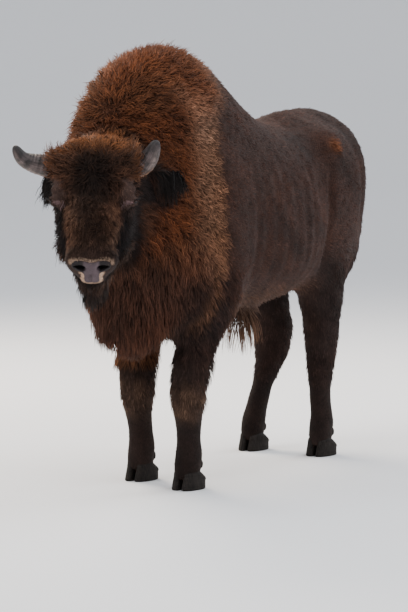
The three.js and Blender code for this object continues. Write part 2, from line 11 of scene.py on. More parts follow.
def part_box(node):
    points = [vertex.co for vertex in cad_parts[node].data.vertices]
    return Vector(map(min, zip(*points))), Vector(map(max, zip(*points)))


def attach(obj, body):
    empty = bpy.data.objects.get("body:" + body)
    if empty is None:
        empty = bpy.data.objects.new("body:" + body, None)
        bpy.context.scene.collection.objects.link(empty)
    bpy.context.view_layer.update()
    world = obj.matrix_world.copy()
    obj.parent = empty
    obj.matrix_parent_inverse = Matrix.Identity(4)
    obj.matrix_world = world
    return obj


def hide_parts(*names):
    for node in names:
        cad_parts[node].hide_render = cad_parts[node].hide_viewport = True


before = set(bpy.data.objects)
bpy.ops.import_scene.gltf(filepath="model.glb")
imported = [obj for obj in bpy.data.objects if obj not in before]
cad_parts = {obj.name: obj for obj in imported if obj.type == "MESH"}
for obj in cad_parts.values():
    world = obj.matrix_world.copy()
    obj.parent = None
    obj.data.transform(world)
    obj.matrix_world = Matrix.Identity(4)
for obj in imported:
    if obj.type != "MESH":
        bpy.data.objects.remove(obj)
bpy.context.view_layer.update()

BODY = "root"

# ------------------------------------------------------------------ camera, floor and light
VIEW_TURN = math.radians(30)  # from straight ahead, round to the animal's left
VIEW_RISE = math.radians(5)
VIEW_AWAY = 11.0
LOOK_AT = Vector((0.0999, -0.1974, 0.7262))
LENS, FILM = 157.1, 36.0  # millimetres
LIT = Vector((0, -0.1, 0.9))  # where the lamps aim


def toward(turn, rise):
    """The unit vector that points from the animal to a place round to its left and above it."""
    return Vector((math.sin(turn) * math.cos(rise), -math.cos(turn) * math.cos(rise), math.sin(rise)))


def aimed(place, target):
    """The rotation of a camera or a light at `place` that looks at `target`."""
    return (Vector(target) - Vector(place)).to_track_quat("-Z", "Y").to_euler()


def add_camera():
    """The camera, a long way off with a long lens."""
    place = LOOK_AT + toward(VIEW_TURN, VIEW_RISE) * VIEW_AWAY
    bpy.ops.object.camera_add(location=place, rotation=aimed(place, LOOK_AT))
    camera = bpy.context.object
    camera.data.lens, camera.data.sensor_width = LENS, FILM
    camera.data.clip_end = 200
    bpy.context.scene.camera = camera


LIGHTS = {
    # name: (turn and rise in degrees, distance, size, watts, colour)
    "key": (-25, 58, 6.5, 4.0, 270, (1.0, 0.97, 0.93)),
    "fill": (75, 30, 7.5, 5.0, 170, (0.92, 0.96, 1.0)),
    "rim": (-118, 36, 6.5, 3.0, 520, (1.0, 0.86, 0.70)),
    "back": (160, 40, 7.0, 4.0, 240, (0.95, 0.97, 1.0)),
}


def add_light(name):
    turn, rise, away, size, watts, colour = LIGHTS[name]
    place = LIT + toward(math.radians(turn), math.radians(rise)) * away
    bpy.ops.object.light_add(type="AREA", location=place, rotation=aimed(place, LIT))
    lamp = bpy.context.object
    lamp.name = lamp.data.name = name + "_light"
    lamp.data.energy, lamp.data.size, lamp.data.color = watts, size, colour


FLOOR_REACH, FLOOR_DROP = 28, -0.0005
SKY, SKY_STRENGTH = (0.86, 0.89, 0.94, 1), 1.05
SWEEP = [(31, 0.3), (34, 1.3), (36.5, 3.4), (38, 7.0), (38.4, 16)]  # radius and height of the backdrop


def add_stage():
    """A pale floor that turns up into a backdrop far behind, and an even sky."""
    middle = (0, 0, FLOOR_DROP)
    bpy.ops.mesh.primitive_circle_add(vertices=96, radius=FLOOR_REACH, fill_type="NGON", location=middle)
    floor = bpy.context.object
    floor.name = "floor"
    bpy.ops.object.mode_set(mode="EDIT")
    bpy.ops.mesh.select_all(action="DESELECT")
    bpy.ops.mesh.select_mode(type="EDGE")
    bpy.ops.mesh.select_all(action="SELECT")
    bpy.ops.mesh.region_to_loop()
    radius, height = FLOOR_REACH, 0
    for wide, high in SWEEP:
        bpy.ops.mesh.extrude_edges_move(TRANSFORM_OT_translate={"value": (0, 0, high - height)})
        grown = wide / radius
        bpy.ops.transform.resize(value=(grown, grown, 1), center_override=(0, 0, high))
        radius, height = wide, high
    bpy.ops.object.mode_set(mode="OBJECT")
    bpy.ops.object.shade_smooth()
    floor.data.materials.append(plain_material("floor", (0.86, 0.86, 0.87), 0.9))
    world = bpy.data.worlds.new("sky")
    world.use_nodes = True
    sky = world.node_tree.nodes["Background"]
    sky.inputs["Color"].default_value = SKY
    sky.inputs["Strength"].default_value = SKY_STRENGTH
    bpy.context.scene.world = world


# ------------------------------------------------------------------ small sums
def ramp(x, start, end):
    """0 before start, 1 after end, smooth between. start may be the larger."""
    t = np.clip((x - start) / (end - start), 0, 1)
    return t * t * (3 - 2 * t)


def band(x, low, high, soft):
    """1 between low and high, 0 outside them, with soft edges."""
    return ramp(x, low - soft, low + soft) * ramp(x, high + soft, high - soft)


def hump(x, middle, width):
    """1 at the middle, falling away smoothly about `width` from it."""
    return np.exp(-(((x - middle) / width) ** 2))


def moved(now, other, share):
    """Each row of `now`, taken its share of the way to `other`."""
    return now + (np.asarray(other, float) - now) * np.clip(share, 0, 1)[:, None]


def unit(v):
    return v / np.maximum(np.linalg.norm(v, axis=-1, keepdims=True), 1e-9)


def ripple(points, size, seed):
    """A smooth random field of about -1 to 1, whose waves are about `size` long."""
    rng = np.random.default_rng(seed)
    total = np.zeros(len(points))
    for _ in range(7):
        way = unit(rng.normal(size=3)) * 2 * math.pi / (size * rng.uniform(0.7, 1.5))
        total += np.sin(points @ way + rng.uniform(0, 2 * math.pi))
    return total / 2.6


def linear(shade):
    """A colour of 0 to 255, as the eye reads it, in the numbers that a shader works in."""
    c = np.asarray(shade, float) / 255
    return np.where(c <= 0.04045, c / 12.92, ((c + 0.055) / 1.055) ** 2.4)


DOWN = np.array([0, 0, -1.0])


# ------------------------------------------------------------------ the head's frame
# As if the head were held level and straight: x to its left, the nose at -y, the forehead at +z.
POLL = np.array([0.042, -0.9384, 1.368])
HEAD_TURN, HEAD_DIP = math.radians(29), math.radians(57)
HEAD_LEFT = np.array([math.cos(HEAD_TURN), math.sin(HEAD_TURN), 0])
HEAD_NOSE = np.array([
    math.sin(HEAD_TURN) * math.cos(HEAD_DIP),
    -math.cos(HEAD_TURN) * math.cos(HEAD_DIP),
    -math.sin(HEAD_DIP),
])
HEAD_BROW = np.cross(HEAD_NOSE, HEAD_LEFT)
HEAD_AXES = np.array([HEAD_LEFT, -HEAD_NOSE, HEAD_BROW])


def to_head(points):
    return (np.asarray(points) - POLL) @ HEAD_AXES.T


def from_head(points):
    return np.asarray(points) @ HEAD_AXES + POLL


def way_from_head(ways):
    return np.asarray(ways) @ HEAD_AXES


EYE_AT = np.array([0.146, -0.222, 0.026])
EYE_RADIUS = 0.0200
PAD_AT = np.array([0, -0.520, 0.0])
PAD_TILT = math.radians(28)
PAD_OUT = np.array([0, -math.cos(PAD_TILT), math.sin(PAD_TILT)])
PAD_UP = np.array([0, math.sin(PAD_TILT), math.cos(PAD_TILT)])


# ------------------------------------------------------------------ mesh tools
def places_of(mesh):
    flat = np.empty(len(mesh.vertices) * 3, np.float32)
    mesh.vertices.foreach_get("co", flat)
    return flat.reshape(-1, 3).astype(float)


def set_places(mesh, points):
    mesh.vertices.foreach_set("co", np.asarray(points, np.float32).ravel())
    mesh.update()


def normals_of(mesh):
    flat = np.empty(len(mesh.vertices) * 3, np.float32)
    mesh.vertex_normals.foreach_get("vector", flat)
    return flat.reshape(-1, 3).astype(float)


def edges_of(mesh):
    flat = np.empty(len(mesh.edges) * 2, np.int32)
    mesh.edges.foreach_get("vertices", flat)
    return flat.reshape(-1, 2)


def relax(values, edges, share, times):
    """Moves each value towards the mean of its neighbours, `share` of the way each time."""
    values = np.array(values, float)
    flat = values.reshape(len(values), -1)
    degree = np.maximum(np.bincount(edges.ravel(), minlength=len(flat)), 1)
    share = np.broadcast_to(share, len(flat))
    for _ in range(times):
        for column in range(flat.shape[1]):
            one = flat[:, column]
            total = np.bincount(edges[:, 0], one[edges[:, 1]], len(flat))
            total += np.bincount(edges[:, 1], one[edges[:, 0]], len(flat))
            one += share * (total / degree - one)
    return values


def mesh_object(name, points, faces):
    """An object from arrays of points and of triangles or four-sided faces."""
    faces = np.asarray(faces, np.int32)
    mesh = bpy.data.meshes.new(name)
    mesh.vertices.add(len(points))
    mesh.vertices.foreach_set("co", np.asarray(points, np.float32).ravel())
    mesh.loops.add(faces.size)
    mesh.loops.foreach_set("vertex_index", faces.ravel())
    mesh.polygons.add(len(faces))
    mesh.polygons.foreach_set("loop_start", np.arange(len(faces), dtype=np.int32) * faces.shape[1])
    mesh.update(calc_edges=True)
    mesh.polygons.foreach_set("use_smooth", np.full(len(faces), True))
    piece = bpy.data.objects.new(name, mesh)
    bpy.context.collection.objects.link(piece)
    return piece


def paint(mesh, name, colours):
    """Stores one colour for each vertex, in linear numbers."""
    layer = mesh.color_attributes.new(name, "FLOAT_COLOR", "POINT")
    full = np.ones((len(colours), 4), np.float32)
    full[:, :3] = colours
    layer.data.foreach_set("color", full.ravel())


def grid_faces(rows, columns):
    """Four-sided faces between rings of points."""
    r, c = np.meshgrid(np.arange(rows - 1), np.arange(columns), indexing="ij")
    a = r * columns + c
    b = r * columns + (c + 1) % columns
    return np.stack([a, b, b + columns, a + columns], -1).reshape(-1, 4)


def only(piece):
    """Selects one object, and nothing else."""
    for thing in list(bpy.context.selected_objects):
        thing.select_set(False)
    piece.select_set(True)
    bpy.context.view_layer.objects.active = piece


def face_outwards(piece):
    """Turns every face's front to the outside."""
    only(piece)
    bpy.ops.object.mode_set(mode="EDIT")
    bpy.ops.mesh.select_all(action="SELECT")
    bpy.ops.mesh.normals_make_consistent(inside=False)
    bpy.ops.object.mode_set(mode="OBJECT")


def joined(parts, name):
    """One object made of several."""
    only(parts[0])
    for part in parts[1:]:
        part.select_set(True)
    bpy.ops.object.join()
    piece = bpy.context.object
    piece.name = piece.data.name = name
    return piece


def ease(mesh, share, times):
    """Smooths a mesh where it lies."""
    set_places(mesh, relax(places_of(mesh), edges_of(mesh), share, times))


def evenly(corners, count, closed=True):
    """Evenly spaced places along a line through corners. A closed line ends where it began."""
    run = np.concatenate([[0], np.cumsum(np.linalg.norm(np.diff(corners, axis=0), axis=1))])
    at = np.linspace(0, run[-1], count, endpoint=not closed)
    return np.stack([np.interp(at, run, column) for column in corners.T], 1)


def rounded(ring):
    """Takes the corners off a ring of places."""
    for _ in range(2):
        ring = (np.roll(ring, 1, 0) + 2 * ring + np.roll(ring, -1, 0)) / 4
    return ring


# ------------------------------------------------------------------ the coat's kinds
# In millimetres, depth: skin to the outside of the coat; length, width: of a lock; apart: between roots.
# In degrees, lift: how far a lock stands off the skin; stray: how far locks turn from the lie.
# wave: curl; clump: how much tips gather; droop: how much a lock hangs. Last, root and tip colours.
COLUMNS = ["depth", "length", "lift", "width", "apart", "stray", "wave", "clump", "droop"]
COATS = {
    "flank": [7, 24, 15, 3.6, 8.4, 10, 0.06, 0.20, 0.0, (22, 15, 12), (62, 41, 34)],
    "belly": [12, 36, 24, 4.2, 8.6, 14, 0.10, 0.30, 0.25, (24, 17, 14), (84, 62, 51)],
    "hip": [10, 40, 34, 4.0, 6.0, 28, 0.30, 0.50, 0.2, (40, 24, 15), (150, 96, 64)],
    "cape": [22, 36, 38, 4.1, 6.6, 26, 0.30, 0.26, 0.12, (34, 24, 18), (126, 93, 74)],
    "mane": [38, 60, 47, 4.4, 6.8, 26, 0.30, 0.34, 0.12, (18, 11, 8), (95, 55, 32)],
    "brisket": [40, 90, 26, 5.4, 7.6, 14, 0.14, 0.42, 0.42, (16, 10, 8), (70, 45, 34)],
    "elbow": [20, 50, 24, 5.0, 8.2, 12, 0.10, 0.35, 0.40, (13, 9, 8), (48, 33, 28)],
    "hem": [16, 84, 20, 5.0, 7.6, 14, 0.14, 0.45, 0.45, (22, 14, 10), (108, 70, 46)],
    "foreleg": [12, 32, 20, 4.2, 8.2, 12, 0.06, 0.25, 0.25, (14, 10, 9), (48, 35, 30)],
    "thigh": [8, 28, 18, 4.0, 8.4, 10, 0.06, 0.2, 0.1, (17, 12, 11), (50, 37, 33)],
    "shank": [5, 16, 15, 3.4, 7.6, 8, 0.0, 0.1, 0.0, (17, 12, 11), (42, 31, 27)],
    "forelock": [36, 48, 40, 4.4, 6.0, 30, 0.36, 0.44, 0.12, (12, 8, 7), (62, 42, 31)],
    "crown": [36, 50, 34, 4.6, 6.0, 26, 0.34, 0.46, 0.05, (22, 14, 9), (110, 68, 38)],
    "face": [18, 32, 38, 3.2, 5.0, 28, 0.22, 0.38, 0.1, (16, 11, 9), (104, 76, 60)],
    "cheek": [22, 40, 24, 4.2, 6.2, 14, 0.12, 0.35, 0.35, (6, 5, 5), (25, 18, 17)],
    "jaw": [30, 52, 26, 4.8, 6.8, 14, 0.14, 0.40, 0.40, (16, 10, 8), (76, 49, 34)],
    "bridge": [8, 18, 24, 2.8, 4.6, 16, 0.08, 0.2, 0.0, (13, 9, 8), (60, 44, 37)],
    "lip": [3, 9, 18, 2.4, 4.2, 14, 0.0, 0.1, 0.0, (20, 16, 15), (62, 50, 46)],
    "cream": [3, 7, 20, 2.0, 3.2, 12, 0.0, 0.0, 0.0, (112, 90, 76), (200, 172, 148)],
    "chin": [10, 56, 26, 3.6, 4.6, 20, 0.12, 0.45, 0.6, (9, 7, 6), (72, 52, 41)],
    "beard": [8, 112, 24, 4.2, 4.4, 20, 0.14, 0.50, 0.9, (9, 7, 7), (52, 40, 35)],
    "orbit": [4, 13, 20, 2.3, 3.5, 14, 0.0, 0.1, 0.0, (20, 15, 14), (74, 60, 56)],
    "ear": [6, 66, 18, 3.6, 5.0, 16, 0.14, 0.40, 0.9, (6, 5, 5), (28, 22, 20)],
    "tail": [12, 46, 14, 5.0, 7.0, 9, 0.08, 0.3, 0.2, (17, 12, 11), (48, 34, 29)],
    "brush": [8, 250, 3, 5.0, 5.4, 5, 0.06, 0.5, 6.0, (12, 9, 8), (38, 27, 24)],
    "sheath": [6, 170, 64, 3.0, 9.0, 9, 0.10, 0.80, 1.2, (30, 20, 15), (98, 72, 56)],
}
KINDS = {name: np.concatenate([row[:9], linear(row[9]), linear(row[10])]) for name, row in COATS.items()}
ROOT, TIP = slice(9, 12), slice(12, 15)

# The edge of the mane behind the shoulder: height, and place along the body.
CAPE_EDGE = np.array([
    (0.5, -0.46), (0.72, -0.44), (0.95, -0.40), (1.25, -0.405), (1.5, -0.37), (1.68, -0.22), (1.85, -0.08),
])
ABOVE_EYE = EYE_AT + [-0.012, 0.044, 0.020]
# The middle of the shadow painted under each ear, in the head's frame.
PAINTED_EAR_SHADOW_AT = np.array([0.205, -0.055, -0.165])


def lay(coat, name, share):
    """Changes the coat to another kind, by its share at each point."""
    coat[:] = moved(coat, KINDS[name], share)


def coat_at(points, part):
    """The coat's numbers at each point, as rows of KINDS. part: how much of each part of the body."""
    coat = np.tile(KINDS["flank"], (len(points), 1))
    lay_body(coat, points, part)
    lay_head(coat, points, part)
    lay(coat, "ear", part["ear"])
    lay(coat, "tail", part["tail"])
    lay(coat, "brush", part["tail"] * ramp(points[:, 2], 1.06, 0.92))
    lay(coat, "sheath", sheath_share(points))
    return coat


def lay_body(coat, points, part):
    """The kinds of coat on the trunk, neck and legs."""
    x, y, z = points.T
    fore, hind = part["leg_front"], part["leg_hind"]
    ragged = 0.014 * ripple(points, 0.07, 1) + 0.014 * ripple(points, 0.20, 2)
    edge = np.interp(z, *CAPE_EDGE.T) + ragged
    lay(coat, "belly", ramp(z, 0.84, 0.72) * band(y, -0.30, 0.62, 0.08))
    lay(coat, "thigh", ramp(z + 0.30 * (y - 0.75), 0.98, 0.80) * ramp(y, 0.45, 0.62))
    swirl = np.exp(-(((y - 0.66) / 0.030) ** 2 + ((z - 1.372) / 0.024) ** 2))
    lay(coat, "hip", swirl * (x > 0))
    soft = 0.035 + 0.16 * ramp(z, 1.35, 1.66)
    lay(coat, "cape", ramp(y, edge + soft, edge - soft))
    ahead = np.maximum(ramp(y, -0.46, -0.62), ramp(z, 1.50, 1.66) * ramp(y, -0.20, -0.40))
    lay(coat, "mane", ahead * ramp(y, edge, edge - 0.05))
    lay(coat, "brisket", ramp(z, 1.10, 0.88) * ramp(y, -0.42, -0.58) * (1 - part["head"]))
    lay(coat, "elbow", ramp(z, 1.00, 0.80) * band(y, -0.56, -0.30, 0.06) * ramp(np.abs(x), 0.04, 0.12))
    lay(coat, "foreleg", fore * ramp(z, 0.60, 0.48))
    lay(coat, "hem", fore * ramp(x, -0.02, -0.07) * ramp(z, 0.47, 0.55) * ramp(y, -0.22, -0.30))
    lay(coat, "thigh", hind)
    lay(coat, "shank", (fore + hind) * ramp(z, 0.36, 0.28))


def lay_head(coat, points, part):
    """The kinds of coat on the head, in its own frame."""
    head = part["head"]
    local = to_head(points)
    side, level, brow = np.abs(local[:, 0]), local[:, 1], local[:, 2]
    folded = np.stack([side, level, brow], 1)
    lay(coat, "cheek", head)
    ear_gap = np.linalg.norm(folded - EARS["left"]["root"], axis=1)
    jowl = ramp(side, 0.150, 0.180) * ramp(brow, -0.01, -0.06)
    lay(coat, "jaw", head * jowl * ramp(ear_gap, 0.08, 0.12))
    # Painted shadow: the near-black cheek coat is laid on the head and neck under each ear, where the ear's
    # shade falls.
    under_ear = np.linalg.norm((folded - PAINTED_EAR_SHADOW_AT) / [1.2, 1, 1.2], axis=1)
    lay(coat, "cheek", (head + part["neck"]) * ramp(under_ear, 0.095, 0.055))
    lay(coat, "forelock", head * ramp(level, -0.30, -0.14) * ramp(brow, -0.06, 0.0))
    ring = np.maximum(ramp(level, -0.095, -0.02), 0.45 * ramp(side, 0.110, 0.150))
    lay(coat, "crown", head * ring * ramp(brow, 0.0, 0.05))
    front = ramp(brow, -0.012, 0.018) * ramp(side, 0.115, 0.085)
    lay(coat, "face", head * band(level, -0.44, -0.24, 0.06) * front)
    lay(coat, "bridge", head * ramp(level, -0.41, -0.47) * ramp(brow, -0.06, -0.03))
    lay(coat, "chin", head * ramp(level, -0.30, -0.36) * ramp(brow, -0.065, -0.085))
    lay(coat, "beard", head * beard_share(local))
    eye_gap = np.linalg.norm(folded - EYE_AT, axis=1)
    above_eye = np.linalg.norm(folded - ABOVE_EYE, axis=1)
    lay(coat, "orbit", head * np.maximum(ramp(eye_gap, 0.042, 0.028), ramp(above_eye, 0.054, 0.034)))
    across, up, out = pad_place(local)
    muzzle = head * ramp(out, -0.060, -0.035)
    lay(coat, "lip", muzzle * ramp(brow, -0.088, -0.075) * ramp(up, 0.045, 0.020))
    lay(coat, "cream", muzzle * pale_rim(points, across, up))


def pale_rim(points, across, up):
    """How pale the hair is round the nose pad, which is widest beside the funnel under the nostrils."""
    gap = pad_gap(across, up)
    funnel = ramp(up, 0.000, -0.012) * ramp(up, -0.058, -0.048)
    rim = 0.0078 + 0.0030 * funnel + 0.0022 * ripple(points, 0.012, 3)
    beside = ramp(np.abs(across), 0.042, 0.054) * ramp(up, 0.034, 0.018)
    bright = 0.60 + 0.10 * ripple(points, 0.02, 4) + 0.40 * funnel
    return ramp(gap, rim + 0.0035, rim - 0.002) * ramp(up, -0.078, -0.070) * (1 - beside) * bright


def beard_share(local):
    """1 on the chin, where the beard hangs, in the head's frame."""
    side, level, brow = np.abs(local[:, 0]), local[:, 1], local[:, 2]
    return band(level, -0.50, -0.385, 0.02) * ramp(brow, -0.084, -0.098) * ramp(side, 0.072, 0.058)


def sheath_share(points):
    """1 under the belly, where the long hair of the sheath hangs."""
    x, y, z = points.T
    return ramp(np.abs(x), 0.055, 0.035) * band(y, 0.235, 0.350, 0.02) * ramp(z, 0.70, 0.67)


def lie_at(points, normals, part):
    """The way that the coat lies on the skin at each point."""
    local = to_head(points)
    side, level, brow = local.T
    y, z = points[:, 1], points[:, 2]
    way = np.tile([0.0, 1.0, -0.42], (len(points), 1))
    way = moved(way, (0, 0.25, -1.0), ramp(z, 0.98, 0.80) * ramp(np.abs(y - 0.2), 0.35, 0.5))
    way = moved(way, (0, 0.75, -0.8), ramp(y, -0.25, -0.45) * ramp(z, 1.62, 1.45))
    way = moved(way, (0, 0.02, -1.0), ramp(y, -0.42, -0.58) * ramp(z, 1.15, 0.95))
    way = moved(way, (0, 0.08, -1.0), part["leg_front"] + part["leg_hind"] + part["tail"])
    way = moved(way, (0, 0.3, -1.0), sheath_share(points))
    whorl = np.stack([side, level + 0.16, np.zeros(len(side))], 1)
    face = moved(way_from_head(unit(whorl)), HEAD_NOSE, ramp(level, -0.12, -0.24))
    jaw = way_from_head(np.array([0, 0.5, -0.85]))
    face = moved(face, jaw, ramp(brow, 0.0, -0.05) * ramp(level, -0.42, -0.36))
    face = moved(face, DOWN, ramp(brow, -0.07, -0.09) * ramp(level, -0.30, -0.36))
    way = moved(way, face, part["head"])
    for ear in EARS.values():
        own = np.sign(ear["tip"][0]) * side > 0
        hang = unit(way_from_head(ear["tip"] - ear["root"])) * ear["spread"] + DOWN
        way = moved(way, hang, part["ear"] * own)
    way = way - np.sum(way * normals, 1)[:, None] * normals
    return unit(way)


# ------------------------------------------------------------------ the nose pad's outline
def pad_place(local):
    """Across, up and out of the face of the muzzle, for places in the head's frame."""
    away = np.asarray(local) - PAD_AT
    return away[..., 0], away @ PAD_UP, away @ PAD_OUT


PAD_EDGE = np.array([
    # half the outline, across and up: from the lip up the funnel, out under a nostril and back over it
    (0.000, -0.055), (0.018, -0.055), (0.0285, -0.052), (0.031, -0.044), (0.030, -0.034), (0.029, -0.022),
    (0.032, -0.011), (0.042, -0.004), (0.057, 0.001), (0.073, 0.009), (0.080, 0.020), (0.079, 0.032),
    (0.071, 0.042), (0.057, 0.047), (0.042, 0.048), (0.027, 0.045), (0.012, 0.0415), (0.000, 0.0405),
])
PAD_MIDDLE = np.array([0.0, 0.004])
PAD_REACH = 0.13  # farther off than this, the pad is not near


def pad_outline(count):
    """Evenly spaced points round the pad: across and up."""
    ring = np.concatenate([PAD_EDGE, PAD_EDGE[-2:0:-1] * [-1, 1], PAD_EDGE[:1]])
    return rounded(evenly(ring, count))


def pad_gap(across, up):
    """Distance outside the pad's outline, below zero within it."""
    ring = pad_outline(160)
    spokes = ring - PAD_MIDDLE
    turn, reach = np.arctan2(spokes[:, 1], spokes[:, 0]), np.linalg.norm(spokes, axis=1)
    flat = np.stack([across, up], -1)
    near = np.abs(flat).max(-1) < PAD_REACH
    away = flat[near] - PAD_MIDDLE
    gap = np.full(near.shape, 1.0)
    nearest = np.linalg.norm(flat[near][:, None, :] - ring[None], axis=2).min(1)
    edge = np.interp(np.arctan2(away[:, 1], away[:, 0]), *polar_order(turn, reach), period=2 * math.pi)
    gap[near] = np.where(np.linalg.norm(away, axis=1) < edge, -nearest, nearest)
    return gap


def polar_order(turn, reach):
    order = np.argsort(turn)
    return turn[order], reach[order]


# ------------------------------------------------------------------ skin
EARS = {
    # in the head's frame. spread: how far the long hair stands out from hanging straight down
    "left": {
        "root": np.array([0.135, -0.072, -0.092]),
        "tip": np.array([0.352, -0.028, -0.122]),
        "spread": 0.4,
    },
    "right": {
        "root": np.array([-0.132, -0.072, -0.092]),
        "tip": np.array([-0.226, -0.006, -0.222]),
        "spread": 1.1,
    },
}
LEG_NAMES = ["leg_front_left", "leg_front_right", "leg_hind_left", "leg_hind_right"]
FLESH = ["trunk", "neck", "head", "nose_pad", "ear_left", "ear_right", "tail", *LEG_NAMES]
PART_OF = {
    "head": "head", "nose_pad": "head", "eye_left": "head", "eye_right": "head", "ear_left": "ear",
    "ear_right": "ear", "neck": "neck", "trunk": "trunk", "tail": "tail", "leg_front_left": "leg_front",
    "leg_front_right": "leg_front", "leg_hind_left": "leg_hind", "leg_hind_right": "leg_hind",
}
PARTS = sorted(set(PART_OF.values()))
VOXEL = 0.0128
HORN_ROOTS = (0.105, 0.130, 0.150)  # from the middle of the head, where the horns' sockets are filled
SOCKET_RADIUS = 0.047


def joined_flesh():
    """One object that holds a copy of every solid of flesh, with the horns' sockets filled."""
    copies = []
    for name in FLESH + ["eye_left", "eye_right"]:
        copy = bpy.data.objects.new("flesh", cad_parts[name].data.copy())
        bpy.context.collection.objects.link(copy)
        copies.append(copy)
    for side in (-1, 1):
        for reach in HORN_ROOTS:
            place = from_head([side * reach, -0.058, -0.008 + 0.006 * side])
            bpy.ops.mesh.primitive_uv_sphere_add(radius=SOCKET_RADIUS, location=place)
            copies.append(bpy.context.object)
    skin = joined(copies, "skin")
    bpy.ops.object.transform_apply(location=True, rotation=True, scale=True)
    skin.data.materials.clear()
    bpy.ops.object.mode_set(mode="EDIT")
    bpy.ops.mesh.select_all(action="SELECT")
    bpy.ops.mesh.remove_doubles(threshold=0.00005)
    bpy.ops.object.mode_set(mode="OBJECT")
    remesh = skin.modifiers.new("one_surface", "REMESH")
    remesh.mode, remesh.voxel_size = "VOXEL", VOXEL
    bpy.ops.object.modifier_apply(modifier=remesh.name)
    return skin


def refine(skin, chosen):
    """Halves the faces whose corners are all chosen."""
    mesh = skin.data
    marks = chosen(places_of(mesh))
    work = bmesh.new()
    work.from_mesh(mesh)
    edges = [e for e in work.edges if marks[e.verts[0].index] and marks[e.verts[1].index]]
    bmesh.ops.subdivide_edges(work, edges=edges, cuts=1, use_grid_fill=True)
    work.to_mesh(mesh)
    work.free()


def nearest_part(points):
    """The share of each part of the body at each point, from the solid that lies nearest."""
    corners, faces, owner = [], [], []
    for name, part in PART_OF.items():
        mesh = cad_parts[name].data
        start = sum(len(c) for c in corners)
        corners.append(places_of(mesh))
        for polygon in mesh.polygons:
            faces.append([start + v for v in polygon.vertices])
            owner.append(PARTS.index(part))
    tree = BVHTree.FromPolygons([tuple(p) for p in np.concatenate(corners)], faces)
    found = np.array([owner[tree.find_nearest(Vector(p))[2]] for p in points])
    return np.eye(len(PARTS))[found]


def part_shares(skin):
    """How much of each part of the body every point of the skin is, with soft borders."""
    shares = relax(nearest_part(places_of(skin.data)), edges_of(skin.data), 0.6, 7)
    return {name: shares[:, n] for n, name in enumerate(PARTS)}


def eye_frame(side):
    """Centre of an eye, its outward axis, the way to its inner corner, and the way up across the lids."""
    centre = from_head(EYE_AT * [side, 1, 1])
    out = unit(way_from_head([side * 0.80, -0.42, 0.43]))
    inner = way_from_head([-side * 0.55, -0.50, 0.66])
    inner = unit(inner - (inner @ out) * out)
    return centre, out, inner, np.cross(out, inner) * side * -1


LID = {"half": 50, "upper": 19, "lower": 15, "thick": 0.0024}  # degrees at the eye's centre, metres
LID_RIM = 0.0019


def lid_angles(away, out, inner, up):
    """Where a direction lies on the eye: degrees towards the inner corner and up, and its distance."""
    far = np.linalg.norm(away, axis=1)
    along = np.degrees(np.arctan2(away @ inner, np.maximum(away @ out, 1e-6)))
    height = np.degrees(np.arcsin(np.clip(away @ up / np.maximum(far, 1e-9), -1, 1)))
    return along, height, far


def lid_edges(along):
    """Height of the upper and lower lid edges, in degrees, at places along the eye."""
    open_share = np.clip(1 - (along / LID["half"]) ** 2, 0, 1)
    slope = -along * 0.10
    return slope + LID["upper"] * open_share**0.75, slope - LID["lower"] * open_share**0.9


def shape_lids(points, side):
    """Presses the skin into an eye's opening and raises its lids, with a crease above and two below."""
    centre, out, inner, up = eye_frame(side)
    away = points - centre
    near = np.linalg.norm(away, axis=1) < 0.075
    along, height, far = lid_angles(away[near], out, inner, up)
    off_axis = np.degrees(np.arccos(np.clip(away[near] @ out / far, -1, 1)))
    upper, lower = lid_edges(along)
    inside = (height < upper) & (height > lower) & (np.abs(along) < LID["half"]) & (off_axis < 80)
    over, under = height - upper, height - lower
    crease = 0.0016 * hump(over, 15, 5) + 0.0011 * hump(under, -13, 4)
    crease += 0.0008 * hump(under, -24, 4)
    swell = 0.0022 * hump(over, 6, 6) + 0.0014 * hump(under, -6, 5)
    target = np.where(inside, EYE_RADIUS * 0.80, EYE_RADIUS + LID["thick"] - crease + swell)
    share = np.where(inside, 1.0, ramp(off_axis, 100, 62) * ramp(far, 0.05, 0.03))
    reach = far + (target - far) * share
    points[near] = centre + away[near] * (reach / np.maximum(far, 1e-9))[:, None]
    return points


LIP_FILL = np.array([  # height on the muzzle, and how far the lip comes forward there
    (-0.082, 0), (-0.070, 0.008), (-0.060, 0.013), (-0.050, 0.0115), (-0.030, 0.005), (-0.010, 0),
])


def fill_lip(points):
    """Brings the middle of the upper lip forward, below the nostrils."""
    local = to_head(points)
    across, up, out = pad_place(local)
    fill = np.interp(up, *LIP_FILL.T) * ramp(np.abs(across), 0.064, 0.034)
    fill = fill * ramp(out, -0.07, -0.045) * ramp(local[:, 1], -0.36, -0.42)
    return points + way_from_head(PAD_OUT) * fill[:, None]


def shape_muzzle(points, normals):
    """Nostril hollows, the mouth's slit and the lips, in the head's frame."""
    local = to_head(points)
    across, up, out = pad_place(local)
    level, brow = local[:, 1], local[:, 2]
    ahead = ramp(level, -0.36, -0.42)
    hollow = nostril_depth(across, up) * ramp(out, -0.05, -0.03) * ahead
    points = points - way_from_head(PAD_OUT) * (hollow * 1.25)[:, None]
    mouth = -0.072 - 0.020 * ramp(level, -0.40, -0.50) + 0.006 * ramp(level, -0.36, -0.33)
    slit = hump(brow, mouth, 0.0045) * ramp(level, -0.315, -0.345)
    lips = hump(brow, mouth, 0.014) * ramp(level, -0.315, -0.345)
    points = points - normals * (0.008 * slit - 0.003 * lips)[:, None]
    return points


def nostril_depth(across, up):
    """How far the nostrils go in, from a comma that is wide at its inner end."""
    x, z = np.abs(across) - 0.044, up - 0.018
    lean = math.radians(18)
    u, v = x * math.cos(lean) + z * math.sin(lean), -x * math.sin(lean) + z * math.cos(lean)
    v = v + 0.22 * np.maximum(u, 0)
    tall = 0.0105 - 0.22 * u
    mark = 1 - (u / 0.0235) ** 2 - (v / np.maximum(tall, 0.004)) ** 2
    return 0.026 * ramp(mark, -0.25, 0.75)


